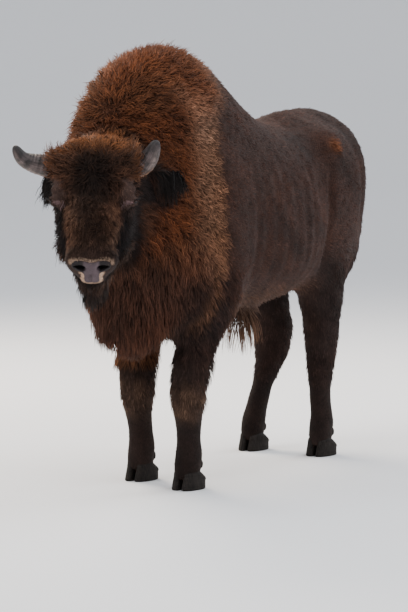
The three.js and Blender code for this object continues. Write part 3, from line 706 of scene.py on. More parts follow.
def shape_trunk(points, normals, part):
    """Ribs, the hip bone's folds, the flank's hollow and creases where limbs meet the body."""
    x, y, z = points.T
    flank = part["trunk"] * ramp(y, -0.25, -0.10) * ramp(y, 0.62, 0.40) * band(z, 0.82, 1.32, 0.10)
    ribs = np.cos((y + 0.25 * (z - 1.0) ** 2 - 0.06 * (z - 1.0)) / 0.085 * 2 * math.pi) * 0.0028 * flank
    ribs = ribs * (0.7 + 0.5 * ripple(points * [1, 1, 0.4], 0.22, 16))
    hollow = 0.016 * np.exp(-(((y - 0.52) / 0.09) ** 2 + ((z - 1.20) / 0.10) ** 2))
    fold_y = 0.615 - 0.07 * ramp(z, 1.30, 0.85)
    fold = 0.017 * hump(y, fold_y, 0.022) * band(z, 0.84, 1.26, 0.08)
    back_fold = 0.010 * hump(y - 0.93, 0.10 * (1.2 - z), 0.026) * band(z, 0.95, 1.30, 0.10)
    haunch = 0.018 * part["trunk"] * ramp(y, 0.72, 0.98) * ramp(z, 1.02, 1.28)
    spine = 0.008 * hump(x, 0, 0.035) * band(y, 0.05, 0.95, 0.10) * ramp(z, 1.35, 1.42)
    return points + normals * (ribs - (hollow + fold + back_fold) * part["trunk"] + spine + haunch)[:, None]


FETLOCK_DROP = 0.020  # how far the skin reaches down into the hoofs


def build_skin():
    """The skin in one surface, inside the flesh by the coat's depth, and the muzzle before its nostrils."""
    skin = joined_flesh()
    mesh = skin.data
    smooth_flesh(mesh)
    refine(skin, lambda p: (np.abs(to_head(p) - [0, -0.24, -0.01]) < [0.33, 0.31, 0.165]).all(1))
    for _ in range(2):
        ease(mesh, 0.4, 1)

    part = part_shares(skin)
    coat = coat_at(places_of(mesh), part)
    depth = relax(coat[:, 0] / 1000, edges_of(mesh), 0.5, 6)
    for _ in range(2):
        set_places(mesh, places_of(mesh) - normals_of(mesh) * (depth * 0.5)[:, None])
        ease(mesh, 0.3, 2)
    set_places(mesh, shape_trunk(places_of(mesh), normals_of(mesh), part))
    points = places_of(mesh)
    points[:, 2] -= FETLOCK_DROP * ramp(points[:, 2], 0.12, 0.07)
    set_places(mesh, points)

    refine(skin, near_features(0.060, 0.080))
    ease(mesh, 0.3, 2)
    refine(skin, near_features(0.036, 0.0))
    for side in (-1, 1):
        set_places(mesh, shape_lids(places_of(mesh), side))
    set_places(mesh, fill_lip(places_of(mesh)))
    muzzle = surface_tree(mesh)
    set_places(mesh, shape_muzzle(places_of(mesh), normals_of(mesh)))
    bpy.ops.object.mode_set(mode="EDIT")
    bpy.ops.mesh.select_all(action="SELECT")
    bpy.ops.mesh.quads_convert_to_tris(quad_method="BEAUTY", ngon_method="BEAUTY")
    bpy.ops.mesh.normals_make_consistent(inside=False)
    bpy.ops.object.mode_set(mode="OBJECT")
    mesh.polygons.foreach_set("use_smooth", np.full(len(mesh.polygons), True))
    return skin, muzzle


def smooth_flesh(mesh):
    """Takes the creases between the solids out, and keeps the flesh's size."""
    points, edges = places_of(mesh), edges_of(mesh)
    local = to_head(points)
    head = (np.abs(local[:, 0]) < 0.36) & (local[:, 1] < 0.06) & (np.abs(local[:, 2] + 0.02) < 0.20)
    legs = (points[:, 2] < 0.60) & (points[:, 1] > -0.56)
    soft = np.where(head, 0.12, np.where(legs, 0.25, 0.5))
    eased = relax(points, edges, soft, 26)
    set_places(mesh, eased + relax(points - eased, edges, 0.5, 24))


def surface_tree(mesh):
    return BVHTree.FromPolygons([v.co for v in mesh.vertices], [list(f.vertices) for f in mesh.polygons])


def near_features(eye_reach, muzzle_reach):
    """A choice of the points about the eyes and the front of the muzzle."""
    def chosen(points):
        local = to_head(points)
        mirrored = np.abs(local) * [1, 0, 0] + local * [0, 1, 1]
        near_eye = np.linalg.norm(mirrored - EYE_AT, axis=1) < eye_reach
        near_nose = np.linalg.norm(local - [0, -0.50, -0.01], axis=1) < muzzle_reach
        return near_eye | near_nose
    return chosen


def unwrap(skin):
    """The map that every coat piece shares."""
    only(skin)
    skin.data.uv_layers.new(name="OFBake")
    bpy.ops.object.mode_set(mode="EDIT")
    bpy.ops.mesh.select_all(action="SELECT")
    bpy.ops.uv.smart_project(angle_limit=math.radians(66), island_margin=0.003)
    bpy.ops.object.mode_set(mode="OBJECT")


# ------------------------------------------------------------------ markings
def markings(points, coat, part):
    """Root and tip colours of the coat at each point, with the animal's own patches and streaks, and orange
    tips on its right side painted as rim light.
    """
    local = to_head(points)
    side, level, brow = np.abs(local[:, 0]), local[:, 1], local[:, 2]
    y, z = points[:, 1], points[:, 2]
    broad = 1 + 0.16 * ripple(points, 0.30, 11) + 0.12 * ripple(points, 0.11, 12)
    streak = ripple(points * [1, 1, 0.12], 0.07, 13)
    rib = part["trunk"] * band(y, -0.20, 0.60, 0.08) * band(z, 0.80, 1.35, 0.1)
    broad = broad * (1 + 0.10 * streak * rib)
    warm = np.clip(0.5 + 0.7 * ripple(points, 0.22, 14), 0, 1)[:, None]
    root, tip = coat[:, ROOT] * broad[:, None], coat[:, TIP] * broad[:, None]
    tip = tip * (1 + ([0.12, -0.02, -0.12] * warm))
    middle = part["head"] * ramp(side, 0.092, 0.028) * ramp(brow, 0.0, 0.03)
    middle = middle * band(level, -0.44, -0.08, 0.04)
    tip, root = tip * (1 - 0.68 * middle)[:, None], root * (1 - 0.45 * middle)[:, None]
    for shade, share in pale_hair_and_painted_rim_light(points, part):
        tip = moved(tip, linear(shade), share)
    pink = linear((112, 90, 90))
    corners = 0.7 * (corner_share(points, -1) + corner_share(points, 1))
    return moved(root, pink, corners), moved(tip, pink, corners)


def pale_hair_and_painted_rim_light(points, part):
    """The paler patches, and orange rim light painted on the right side of the hump and the brisket: a
    colour for the tips, and its share at each point.
    """
    x, y, z = points.T
    body = 1 - part["head"]
    behind = y - np.interp(z, *CAPE_EDGE.T)
    wide = 0.07 + 0.13 * ramp(z, 0.90, 1.10)
    rear = ramp(behind, -wide, -wide / 4) * ramp(behind, 0.03, -0.03)
    rear = rear * ramp(z, 1.55, 1.35) * ramp(z, 0.62, 0.74)
    # Painted rim light: orange tips along the right side of the hump, where light from behind would glow
    # through the hair.
    crest = ramp(x, -0.04, -0.14) * ramp(z, 1.38, 1.58) * ramp(behind, -0.02, -0.14)
    patchy = 0.45 + 0.55 * ramp(ripple(points, 0.10, 15), -0.5, 0.6)
    knee = part["leg_front"] * band(z, 0.28, 0.43, 0.05) * patchy
    hem = ramp(z, 0.80, 0.66) * ramp(y, -0.50, -0.60) * part["trunk"]
    # Painted rim light: orange tips down the right edge of the brisket.
    painted_rim_light_brisket = ramp(x, -0.05, -0.15) * band(z, 0.58, 1.02, 0.08) * ramp(y, -0.46, -0.56)
    return [
        ((124, 84, 58), 0.45 * rear * body),
        # painted rim light on the hump
        ((128, 72, 26), 0.45 * crest * body),
        ((112, 84, 66), 0.65 * knee),
        ((118, 74, 44), 0.5 * hem),
        # painted rim light on the brisket
        ((150, 88, 44), 0.42 * painted_rim_light_brisket * body),
    ]


def corner_share(points, side):
    """1 on the bare skin at the inner corner of an eye."""
    centre, _, inner, up = eye_frame(side)
    away = points - centre
    near = ramp(np.linalg.norm(away, axis=1), 0.052, 0.038) * ramp(away @ inner, 0.012, 0.019)
    wedge = 0.011 - 0.18 * (away @ inner)
    return near * ramp(np.abs(away @ up + 0.004), wedge + 0.004, wedge - 0.002)


# ------------------------------------------------------------------ tufts
PATCH = 0.003  # of the unwrap, for each lock
HORN_COVER = 0.043  # nearer to a horn's middle line than this, no lock grows
TUFT_SIZE = 0.026  # of the patches in which locks lean together
ROOT_DEPTH = 0.004
LONG_RINGS = 4  # a lock with more rings than this hangs from its root on
LOCK_TAPER = np.array([(0, 0.85), (0.33, 1.0), (0.66, 0.72), (1, 0.3)])


def corner_data(mesh):
    """Corners, areas and map places of the skin's triangles."""
    corners = np.empty(len(mesh.polygons) * 3, np.int32)
    mesh.loops.foreach_get("vertex_index", corners)
    flat = np.empty(len(mesh.loops) * 2, np.float32)
    mesh.uv_layers["OFBake"].data.foreach_get("uv", flat)
    return corners.reshape(-1, 3), flat.reshape(-1, 3, 2).astype(float)


def scatter(skin, coat, part, seed):
    """Roots over the skin: places, normals, coat numbers, part shares and map places."""
    mesh = skin.data
    corners, uv = corner_data(mesh)
    points, normals = places_of(mesh), normals_of(mesh)
    a, b, c = (points[corners[:, n]] for n in range(3))
    area = np.linalg.norm(np.cross(b - a, c - a), axis=1) / 2
    apart = np.maximum(coat[corners].mean(1)[:, COLUMNS.index("apart")], 2.0) / 1000
    want = area / apart**2 * 2.2
    rng = np.random.default_rng(seed)
    count = rng.poisson(want)
    face = np.repeat(np.arange(len(corners)), count)
    s, t = rng.random((2, len(face)))
    flip = s + t > 1
    s, t = np.where(flip, 1 - s, s), np.where(flip, 1 - t, t)
    mix = np.stack([1 - s - t, s, t], 1)[:, :, None]
    place = (points[corners[face]] * mix).sum(1)
    step = np.round(apart[face] * 1000) / 1000
    keys = np.floor(place / step[:, None] * 1.04).astype(np.int64)
    keys = np.concatenate([keys, np.round(step * 1e5).astype(np.int64)[:, None]], 1)
    _, first = np.unique(keys, axis=0, return_index=True)
    first = first[~covered(place[first])]
    face, mix, place = face[first], mix[first], place[first]
    shares = np.stack([part[name] for name in PARTS], 1)
    return {
        "place": place,
        "normal": unit((normals[corners[face]] * mix).sum(1)),
        "coat": (coat[corners[face]] * mix).sum(1),
        "part": (shares[corners[face]] * mix).sum(1),
        "uv": (uv[face] * mix).sum(1),
    }


def covered(points):
    """True where an eye, the nose pad or a horn stands in front of the skin."""
    local = to_head(points)
    across, up, out = pad_place(local)
    hidden = (pad_gap(across, up) < -0.003) & (out > -0.06)
    for side, name in ((-1, "right"), (1, "left")):
        hidden |= np.linalg.norm(points - eye_frame(side)[0], axis=1) < EYE_RADIUS + 0.0012
        for centre in curve_through(HORNS[name], 24)[:14]:
            hidden |= np.linalg.norm(local - centre, axis=1) < HORN_COVER
    return hidden


def gather(bundle, chosen):
    return {name: values[chosen] for name, values in bundle.items()}


def length_share(points, normals, part):
    """Where the coat is longer or shorter than its kind."""
    local = to_head(points)
    side, level, brow = np.abs(local[:, 0]), local[:, 1], local[:, 2]
    x, y, z = points.T
    back_of_leg = part["leg_front"] * ramp(normals[:, 1], 0.2, 0.8) * ramp(z, 0.28, 0.42)
    under_ear = part["ear"] * ramp(-normals[:, 2], 0.0, 0.7)
    crest = ramp(x, -0.04, -0.14) * ramp(z, 1.35, 1.50) * ramp(y, -0.20, -0.40)
    pointed = (0.25 - 0.75 * ramp(side, 0.004, 0.062)) * beard_share(local)
    share = (1 + 1.2 * back_of_leg) * (1 + pointed) * (1 + 0.5 * under_ear) * (1 + 0.30 * crest)
    top = part["head"] * ramp(level, -0.16, -0.08) * ramp(brow, 0.0, 0.04)
    return share * (1 + (0.95 * ramp(side, 0.09, 0.15) - 0.22 * ramp(side, 0.09, 0.04)) * top)


def lock_spines(place, normal, number, part, rings, rng):
    """The middle line of each lock, from under its root to its tip."""
    count = len(place)
    way = lie_at(place, normal, part)
    side = np.cross(normal, way)
    stray = np.radians(number["stray"]) * (rng.normal(0, 0.8, count) + 1.3 * ripple(place, 0.06, 21))
    way = way * np.cos(stray)[:, None] + side * np.sin(stray)[:, None]
    side = np.cross(normal, way)
    length = number["length"] / 1000 * rng.uniform(0.70, 1.25, count) * length_share(place, normal, part)
    stands_out = (rng.random(count) < 0.07) & (number["length"] < 70)
    length = length * np.where(stands_out, 1.35, 1.0)
    lift = np.radians(number["lift"]) * (rng.uniform(0.65, 1.3, count) + 0.25 * ripple(place, 0.05, 22))
    wave = number["wave"] * rng.uniform(0.4, 1.4, count)
    phase = rng.uniform(0, 2 * math.pi, count)
    hangs_early = 0.3 if rings > LONG_RINGS else 0.0
    spine = [place - normal * ROOT_DEPTH]
    for ring in range(rings):
        share = ring / rings
        rise = lift * (1.25 - 0.75 * share)
        heading = way * np.cos(rise)[:, None] + normal * np.sin(rise)[:, None]
        heading = heading + DOWN * (number["droop"] * (share * 1.6 + hangs_early))[:, None]
        sway = wave * np.sin(phase + 2.4 * ring)
        lean = wave * np.cos(phase + 2.4 * ring)
        heading = unit(heading + side * sway[:, None] * 2 + normal * lean[:, None])
        spine.append(spine[-1] + heading * (length / rings)[:, None])
    return np.stack(spine, 1)


def gather_tips(place, spine, clump):
    """Leans the locks of each small patch together, most at their tips."""
    warp = np.stack([ripple(place, 0.05, 30 + n) for n in range(3)], 1) * 0.006
    cells = np.floor((place + warp) / TUFT_SIZE).astype(np.int64)
    _, group = np.unique(cells, axis=0, return_inverse=True)
    group = group.ravel()
    size = np.bincount(group)
    mean = np.stack([np.bincount(group, spine[:, -1, n]) / size for n in range(3)], 1)
    pull = (mean[group] - spine[:, -1]) * clump[:, None]
    shares = np.linspace(0, 1, spine.shape[1]) ** 1.4
    return spine + pull[:, None, :] * shares[None, :, None]


def lock_walls(spine, normal, width, rng):
    """Three corners at each ring of every lock, and the ways that they lie from its middle line."""
    count, rings = len(spine), spine.shape[1] - 1
    heading = unit(spine[:, 1:] - spine[:, :-1])
    across = unit(np.cross(normal[:, None, :], heading))
    raised = np.cross(heading, across)
    taper = np.interp(np.arange(rings) / rings, *LOCK_TAPER.T)
    half = width[:, None] / 2000 * taper[None, :] * rng.uniform(0.75, 1.3, (count, 1))
    angles = np.radians([90, 210, 330])
    offsets = (across[:, :, None, :] * np.cos(angles)[None, None, :, None]
               + raised[:, :, None, :] * (0.62 * np.sin(angles))[None, None, :, None])
    return spine[:, :rings, None, :] + offsets * half[:, :, None, None], offsets


def lock_faces(rings):
    """The triangles of one lock, whose rings end in a point."""
    faces = []
    for ring in range(rings - 1):
        for n in range(3):
            a, b = ring * 3 + n, ring * 3 + (n + 1) % 3
            faces += [[a, b, b + 3], [a, b + 3, a + 3]]
    last = (rings - 1) * 3
    return np.array(faces + [[last + n, last + (n + 1) % 3, rings * 3] for n in range(3)])


def lock_colours(place, coat, part, rings, rng):
    """Each corner's colour, dark at the root and the tip's colour at the point."""
    root, tip = markings(place, coat, part)
    patches = 1 + 0.22 * ripple(place, 0.03, 41)
    bright = rng.lognormal(-0.02, 0.27, (len(place), 1, 1)) * patches[:, None, None]
    first = 0.0 if rings > 2 else 0.2
    shade = np.interp(np.arange(rings) / rings, [0, 0.33, 0.66, 1], [first, 0.45, 0.80, 1.0])
    along = np.concatenate([np.repeat(shade, 3), [1.0]])[None, :, None]
    colour = (root[:, None, :] * (1 - along) + tip[:, None, :] * along) * bright
    return np.clip(colour, 0, 1).reshape(-1, 3)


def map_locks(mesh, middles, faces, rings):
    """Gives each lock a small patch of the skin's map, at its root's place."""
    corner = np.zeros((rings * 3 + 1, 2))
    corner[:-1, 0] = (np.tile(np.arange(3), rings) / 2 - 0.5) * PATCH
    corner[:, 1] = np.concatenate([np.repeat(np.arange(rings) / rings - 0.5, 3), [0.5]]) * PATCH
    flat = (middles[:, None, :] + corner[None, :, :]).reshape(-1, 2)
    layer = mesh.uv_layers.new(name="OFBake")
    layer.data.foreach_set("uv", flat[faces.reshape(-1)].astype(np.float32).ravel())


def grow(name, roots, seed, rings):
    """One coat piece: a tapering three-sided lock at each root, in tufts that lean together."""
    rng = np.random.default_rng(seed)
    place, normal, coat = roots["place"], roots["normal"], roots["coat"]
    count = len(place)
    part = {p: roots["part"][:, n] for n, p in enumerate(PARTS)}
    number = {c: coat[:, n] for n, c in enumerate(COLUMNS)}
    spine = lock_spines(place, normal, number, part, rings, rng)
    spine = gather_tips(place, spine, number["clump"])
    walls, offsets = lock_walls(spine, normal, number["width"], rng)
    points = np.concatenate([walls.reshape(count, -1, 3), spine[:, -1:, :]], 1)
    each = points.shape[1]
    faces = lock_faces(rings)[None, :, :] + (np.arange(count) * each)[:, None, None]
    piece = mesh_object(name, points.reshape(-1, 3), faces.reshape(-1, 3))
    paint(piece.data, "shade", lock_colours(place, coat, part, rings, rng))
    turned = np.concatenate([unit(offsets).reshape(count, -1, 3), normal[:, None, :]], 1)
    softened = unit(turned * 0.55 + normal[:, None, :] * 0.75)
    piece.data.normals_split_custom_set_from_vertices(softened.reshape(-1, 3).tolist())
    map_locks(piece.data, roots["uv"], faces, rings)
    piece.data.materials.append(bpy.data.materials["bison_coat"])
    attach(piece, BODY)
    return piece


def coat_groups(roots):
    """The coat's pieces: name, its roots, its slot, rings of each lock, and the node it stands for."""
    owner = np.array(PARTS)[roots["part"].argmax(1)]
    x, y, z = roots["place"].T
    local = to_head(roots["place"])
    left, head = x > 0, owner == "head"
    owner[head & (local[:, 1] > -0.20) & (local[:, 2] > -0.02)] = "forehead"
    owner[head & (beard_share(local) > 0.5)] = "beard"
    owner[(owner == "head") & (local[:, 1] < -0.20) & (local[:, 2] > -0.035)] = "face"
    owner[(owner == "trunk") & (sheath_share(roots["place"]) > 0.5)] = "sheath"
    owner[(owner == "tail") & (z < 0.99)] = "brush"
    groups = [
        ("coat_forehead", owner == "forehead", "coat_dark", 3, None),
        ("coat_face", owner == "face", "coat_dark", 3, None),
        ("coat_cheeks", owner == "head", "coat_dark", 3, None),
        ("coat_ears", owner == "ear", "coat_dark", 4, None),
        ("coat_tail", owner == "tail", "coat_flank", 3, None),
        ("coat_beard", owner == "beard", "coat_dark", 5, "beard"),
        ("coat_sheath", owner == "sheath", "coat_mane", 6, "sheath_tuft"),
        ("coat_brush", owner == "brush", "coat_dark", 6, "tail_tuft"),
    ]
    legs = np.isin(owner, ["leg_front", "leg_hind"])
    for side, on_side in (("left", left), ("right", ~left)):
        trunk = (owner == "trunk") & on_side
        groups += [
            ("coat_neck_" + side, (owner == "neck") & on_side, "coat_mane", 3, None),
            ("coat_shoulder_" + side, trunk & (y < -0.12), "coat_mane", 3, None),
            ("coat_flank_" + side, trunk & (y >= -0.12) & (y < 0.52), "coat_flank", 2, None),
            ("coat_rump_" + side, trunk & (y >= 0.52), "coat_flank", 2, None),
            ("coat_legs_" + side, legs & on_side, "coat_dark", 2, None),
        ]
    return groups


# ------------------------------------------------------------------ horns
HORNS = {
    # in the head's frame, from inside the skull to the tip
    "left": [
        (0.100, -0.062, -0.004), (0.174, -0.054, 0.010), (0.216, -0.034, 0.050), (0.242, 0.002, 0.103),
    ],
    "right": [
        (-0.104, -0.058, -0.018), (-0.186, -0.048, -0.006), (-0.272, -0.034, 0.018), (-0.312, 0.006, 0.056),
    ],
}
HORN_TAPER = np.array([
    (0, 0.045), (0.3, 0.0455), (0.5, 0.041), (0.7, 0.032), (0.85, 0.024), (0.93, 0.018), (0.97, 0.0125),
    (0.99, 0.007), (1, 0.0006),
])


def curve_through(corners, count):
    """Evenly spaced points on a smooth curve through a few corners."""
    corners = np.asarray(corners, float)
    knots = np.concatenate([2 * corners[:1] - corners[1:2], corners, 2 * corners[-1:] - corners[-2:-1]])
    places = []
    for n in range(1, len(knots) - 2):
        t = np.linspace(0, 1, 40)[:, None]
        p0, p1, p2, p3 = knots[n - 1:n + 3]
        places.append(0.5 * (2 * p1 + (p2 - p0) * t + (2 * p0 - 5 * p1 + 4 * p2 - p3) * t**2
                             + (3 * p1 - p0 - 3 * p2 + p3) * t**3))
    return evenly(np.concatenate(places), count, closed=False)


def ring_frames(path, first):
    """Two directions across a path at each of its points, turning with it."""
    along = unit(np.gradient(path, axis=0))
    fronts = []
    front = np.asarray(first, float)
    for way in along:
        front = unit(front - (front @ way) * way)
        fronts.append(front)
    fronts = np.array(fronts)
    return fronts, np.cross(along, fronts)


def swept(name, path, radii, sides, first):
    """A closed tube along a path. radii: one number for each ring and side."""
    front, across = ring_frames(path, first)
    angle = np.linspace(0, 2 * math.pi, sides, endpoint=False)
    wide, tall = np.cos(angle)[None, :, None], np.sin(angle)[None, :, None]
    spoke = front[:, None, :] * wide + across[:, None, :] * tall
    points = (path[:, None, :] + spoke * radii[:, :, None]).reshape(-1, 3)
    return capped(name, points, len(path), sides)


def capped(name, points, rows, sides):
    """Rings of points joined by faces, with a fan of triangles at each end."""
    ends = np.stack([points[:sides].mean(0), points[-sides:].mean(0)])
    points = np.concatenate([points, ends])
    quads = grid_faces(rows, sides)
    n, base = np.arange(sides), (rows - 1) * sides
    after = (n + 1) % sides
    low, high = np.full(sides, rows * sides), np.full(sides, rows * sides + 1)
    first, last = np.stack([low, after, n], 1), np.stack([high, base + n, base + after], 1)
    triangles = np.concatenate([quads[:, [0, 1, 2]], quads[:, [0, 2, 3]], first, last])
    piece = mesh_object(name, points, triangles)
    face_outwards(piece)
    return piece


HORN_RINGS, HORN_SIDES = 120, 64


def build_horn(side):
    """A curved horn with worn rings and long grooves, and its colours."""
    path = from_head(curve_through(HORNS[side], HORN_RINGS))
    share = np.linspace(0, 1, HORN_RINGS)[:, None]
    angle = np.linspace(0, 2 * math.pi, HORN_SIDES, endpoint=False)[None, :]
    radius = np.interp(share, *HORN_TAPER.T) * (1 + 0.035 * np.cos(2 * angle + 0.6))
    worn = ramp(share, 0.85, 0.55)
    rings = np.sin(share * 2 * math.pi * 15 + 0.8 * np.sin(angle) + 1.3 * np.sin(share * 21))
    grain = np.sin(angle * 19 + 3 * np.sin(share * 9)) + 0.6 * np.sin(angle * 31 + 5 * share)
    radius = radius + worn * (0.0011 * np.maximum(rings, -0.2) + 0.00035 * grain)
    horn = swept("horn_of_" + side, path, radius, HORN_SIDES, HEAD_BROW)
    share, angle = (np.broadcast_to(v, radius.shape).ravel() for v in (share, angle))
    paint(horn.data, "shade", horn_colours(share, angle))
    map_horn(horn.data, share, angle)
    horn.data.materials.append(bpy.data.materials["ringed_horn"])
    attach(horn, BODY)
    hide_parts("horn_" + side)


def horn_colours(share, angle):
    """Grey horn, tan below near the head, pale at mid length, dark above and at the tip."""
    grey, dark, tan, pale = (linear(c) for c in ((72, 61, 59), (28, 24, 25), (132, 96, 70), (118, 103, 96)))
    upper = 0.5 + 0.5 * np.cos(angle)
    colour = grey * (1 + 0.22 * np.sin(angle * 7 + 4 * share) + 0.18 * np.sin(share * 37 + angle))[:, None]
    colour = moved(colour, tan, ramp(share, 0.60, 0.40) * ramp(upper, 0.55, 0.2) * 0.8)
    colour = moved(colour, pale, band(share, 0.5, 0.8, 0.1) * band(upper, 0.25, 0.6, 0.15) * 0.55)
    colour = moved(colour, dark, ramp(upper, 0.72, 1.0) * ramp(share, 0.45, 0.75) * 0.75)
    colour = moved(colour, dark, ramp(share, 0.86, 0.97) * 0.85)
    return np.clip(np.concatenate([colour, colour[:1], colour[-1:]]), 0, 1)


def map_horn(mesh, share, angle):
    """A map with the horn's length upwards, for its grain."""
    corner = np.empty(len(mesh.loops), np.int32)
    mesh.loops.foreach_get("vertex_index", corner)
    round_way = np.concatenate([np.abs(angle / math.pi - 1), [0.5, 0.5]])
    long_way = np.concatenate([share, [0, 1]])
    flat = np.stack([round_way, long_way], 1)[corner]
    mesh.uv_layers.new(name="grain").data.foreach_set("uv", flat.astype(np.float32).ravel())


# ------------------------------------------------------------------ hooves
CLAW_SIZE = np.array([0.0285, 0.0694])  # half the width and half the length of the sole


def claw_outline(count):
    """Half of a cloven sole from above, about its middle: a straight inner wall at -1, the toe at -1."""
    corners = [(-1, 0.92), (-1, 0.3), (-1, -0.45), (-0.92, -0.85), (-0.5, -1.0), (0.1, -0.86), (0.62, -0.5),
               (0.92, -0.05), (1, 0.35), (0.84, 0.76), (0.35, 0.99), (-0.5, 0.99), (-1, 0.92)]
    return rounded(evenly(np.array(corners, float), count))


CLAW_LEVELS = [
    # height, scale, how far back: the sole, the wall, the hair line and the soft ring above it
    (0.0, 0.90, 0), (0.0004, 0.95, 0), (0.002, 0.985, 0), (0.006, 1.0, 0.0005), (0.012, 0.992, 0.001),
    (0.018, 0.985, 0.0025), (0.024, 0.966, 0.0035), (0.030, 0.957, 0.005), (0.036, 0.938, 0.006),
    (0.042, 0.929, 0.0075), (0.048, 0.912, 0.0085), (0.054, 0.900, 0.010), (0.058, 0.905, 0.011),
    (0.062, 0.93, 0.012), (0.070, 0.90, 0.014), (0.078, 0.78, 0.018), (0.083, 0.55, 0.022),
]


def build_claw(node):
    """One of a hoof's two claws, with faint growth rings, lower at the heel."""
    low, high = (np.array(corner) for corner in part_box(node))
    outer = 1 if ("outer" in node) == ("left" in node) else -1
    flat = claw_outline(72) * CLAW_SIZE
    rings = []
    for number, (height, scale, back) in enumerate(CLAW_LEVELS):
        ridge = 1 + 0.010 * (number % 2) * (2 < number < 12)
        ring = flat * scale * ridge
        ring[:, 0] = np.maximum(ring[:, 0], -CLAW_SIZE[0] * min(1, scale + 0.06))
        heel = 1 - 0.42 * ramp(ring[:, 1], -0.03, 0.06)
        rings.append(np.stack([ring[:, 0] * outer, ring[:, 1] + back, height * heel], 1))
    middle = np.array([(low[0] + high[0]) / 2, (low[1] + high[1]) / 2, 0])
    points = np.concatenate(rings) + middle
    claw = capped("hoof" + node[4:], points, len(CLAW_LEVELS), len(flat))
    claw.data.materials.append(bpy.data.materials["hoof_horn"])
    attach(claw, BODY)
    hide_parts(node)


DEWCLAWS = {"front": (0.115, 0.040), "hind": (0.118, 0.040)}  # height, and how far behind the hoof's middle
DEWCLAW_RINGS = 14


def build_dewclaws(end, side):
    """The two small hoofs that grow behind the fetlock."""
    claws = ["claw_%s_%s_%s" % (end, side, claw) for claw in ("inner", "outer")]
    inner, outer = (np.mean(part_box(claw), axis=0) for claw in claws)
    middle = (inner + outer) / 2
    height, back = DEWCLAWS[end]
    parts = []
    for way in (-1, 1):
        start = middle + [way * 0.020, back, 0]
        start[2] = height
        bends = [start, start + [way * 0.004, 0.020, -0.014], start + [way * 0.005, 0.026, -0.038]]
        share = np.linspace(0, 1, DEWCLAW_RINGS)[:, None]
        radii = np.interp(share, [0, 0.5, 0.85, 1], [0.014, 0.0150, 0.0105, 0.003]) * np.ones((1, 20))
        radii = radii * (1 + 0.02 * np.sin(share * 40))
        parts.append(swept("dewclaw", curve_through(bends, DEWCLAW_RINGS), radii, 20, (1, 0, 0)))
    pair = joined(parts, "dewclaws_%s_%s" % (end, side))
    pair.data.materials.append(bpy.data.materials["hoof_horn"])
    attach(pair, BODY)


# ------------------------------------------------------------------ eyes
def build_eye(side, name):
    """An eyeball with a clear bulge over a dark iris and a level, slot-shaped pupil."""
    centre, out, inner, up = eye_frame(side)
    rows, columns = 64, 96
    polar = np.linspace(0.012, math.pi - 0.012, rows)[:, None, None]
    angle = np.linspace(0, 2 * math.pi, columns, endpoint=False)[None, :, None]
    reach = EYE_RADIUS - 0.0004 + 0.0011 * ramp(np.degrees(polar), 42, 20)
    way = np.cos(polar) * out + np.sin(polar) * np.cos(angle) * inner + np.sin(polar) * np.sin(angle) * up
    eye = capped("eyeball_" + name, (centre + way * reach).reshape(-1, 3), rows, columns)
    off, angle = (np.broadcast_to(v, way.shape[:2] + (1,)).ravel() for v in (np.degrees(polar), angle))
    pupil = ramp(np.hypot(off * np.cos(angle) / 17, off * np.sin(angle) / 8.5), 1.12, 0.92)
    spoke = (1 + 0.25 * np.sin(angle * 29) * ramp(off, 12, 26))[:, None]
    white, iris, black, rim = (linear(c) for c in ((70, 52, 46), (44, 26, 16), (4, 3, 4), (12, 8, 7)))
    colour = moved(np.tile(white, (len(off), 1)), rim * spoke, ramp(off, 54, 48))
    colour = moved(colour, iris * spoke, ramp(off, 47, 42))
    colour = moved(colour, black, pupil)
    paint(eye.data, "shade", np.clip(np.concatenate([colour, [black, white]]), 0, 1))
    eye.data.materials.append(bpy.data.materials["wet_eye"])
    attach(eye, BODY)
    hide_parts("eye_" + name)


def lid_loop(count, lift):
    """Points round the edges of the lids: degrees towards the inner corner and up."""
    turn = np.linspace(0, 2 * math.pi, count, endpoint=False)
    along = LID["half"] * 0.985 * np.cos(turn)
    upper, lower = lid_edges(along)
    return along, np.where(turn < math.pi, upper + lift, lower - lift)


def on_eye(side, along, height, reach):
    """Places at a distance from an eye's centre, from degrees towards its inner corner and up."""
    centre, out, inner, up = eye_frame(side)
    along, height = np.radians(along)[:, None], np.radians(height)[:, None]
    level = np.cos(height) * (np.cos(along) * out + np.sin(along) * inner)
    return centre + (level + np.sin(height) * up) * reach


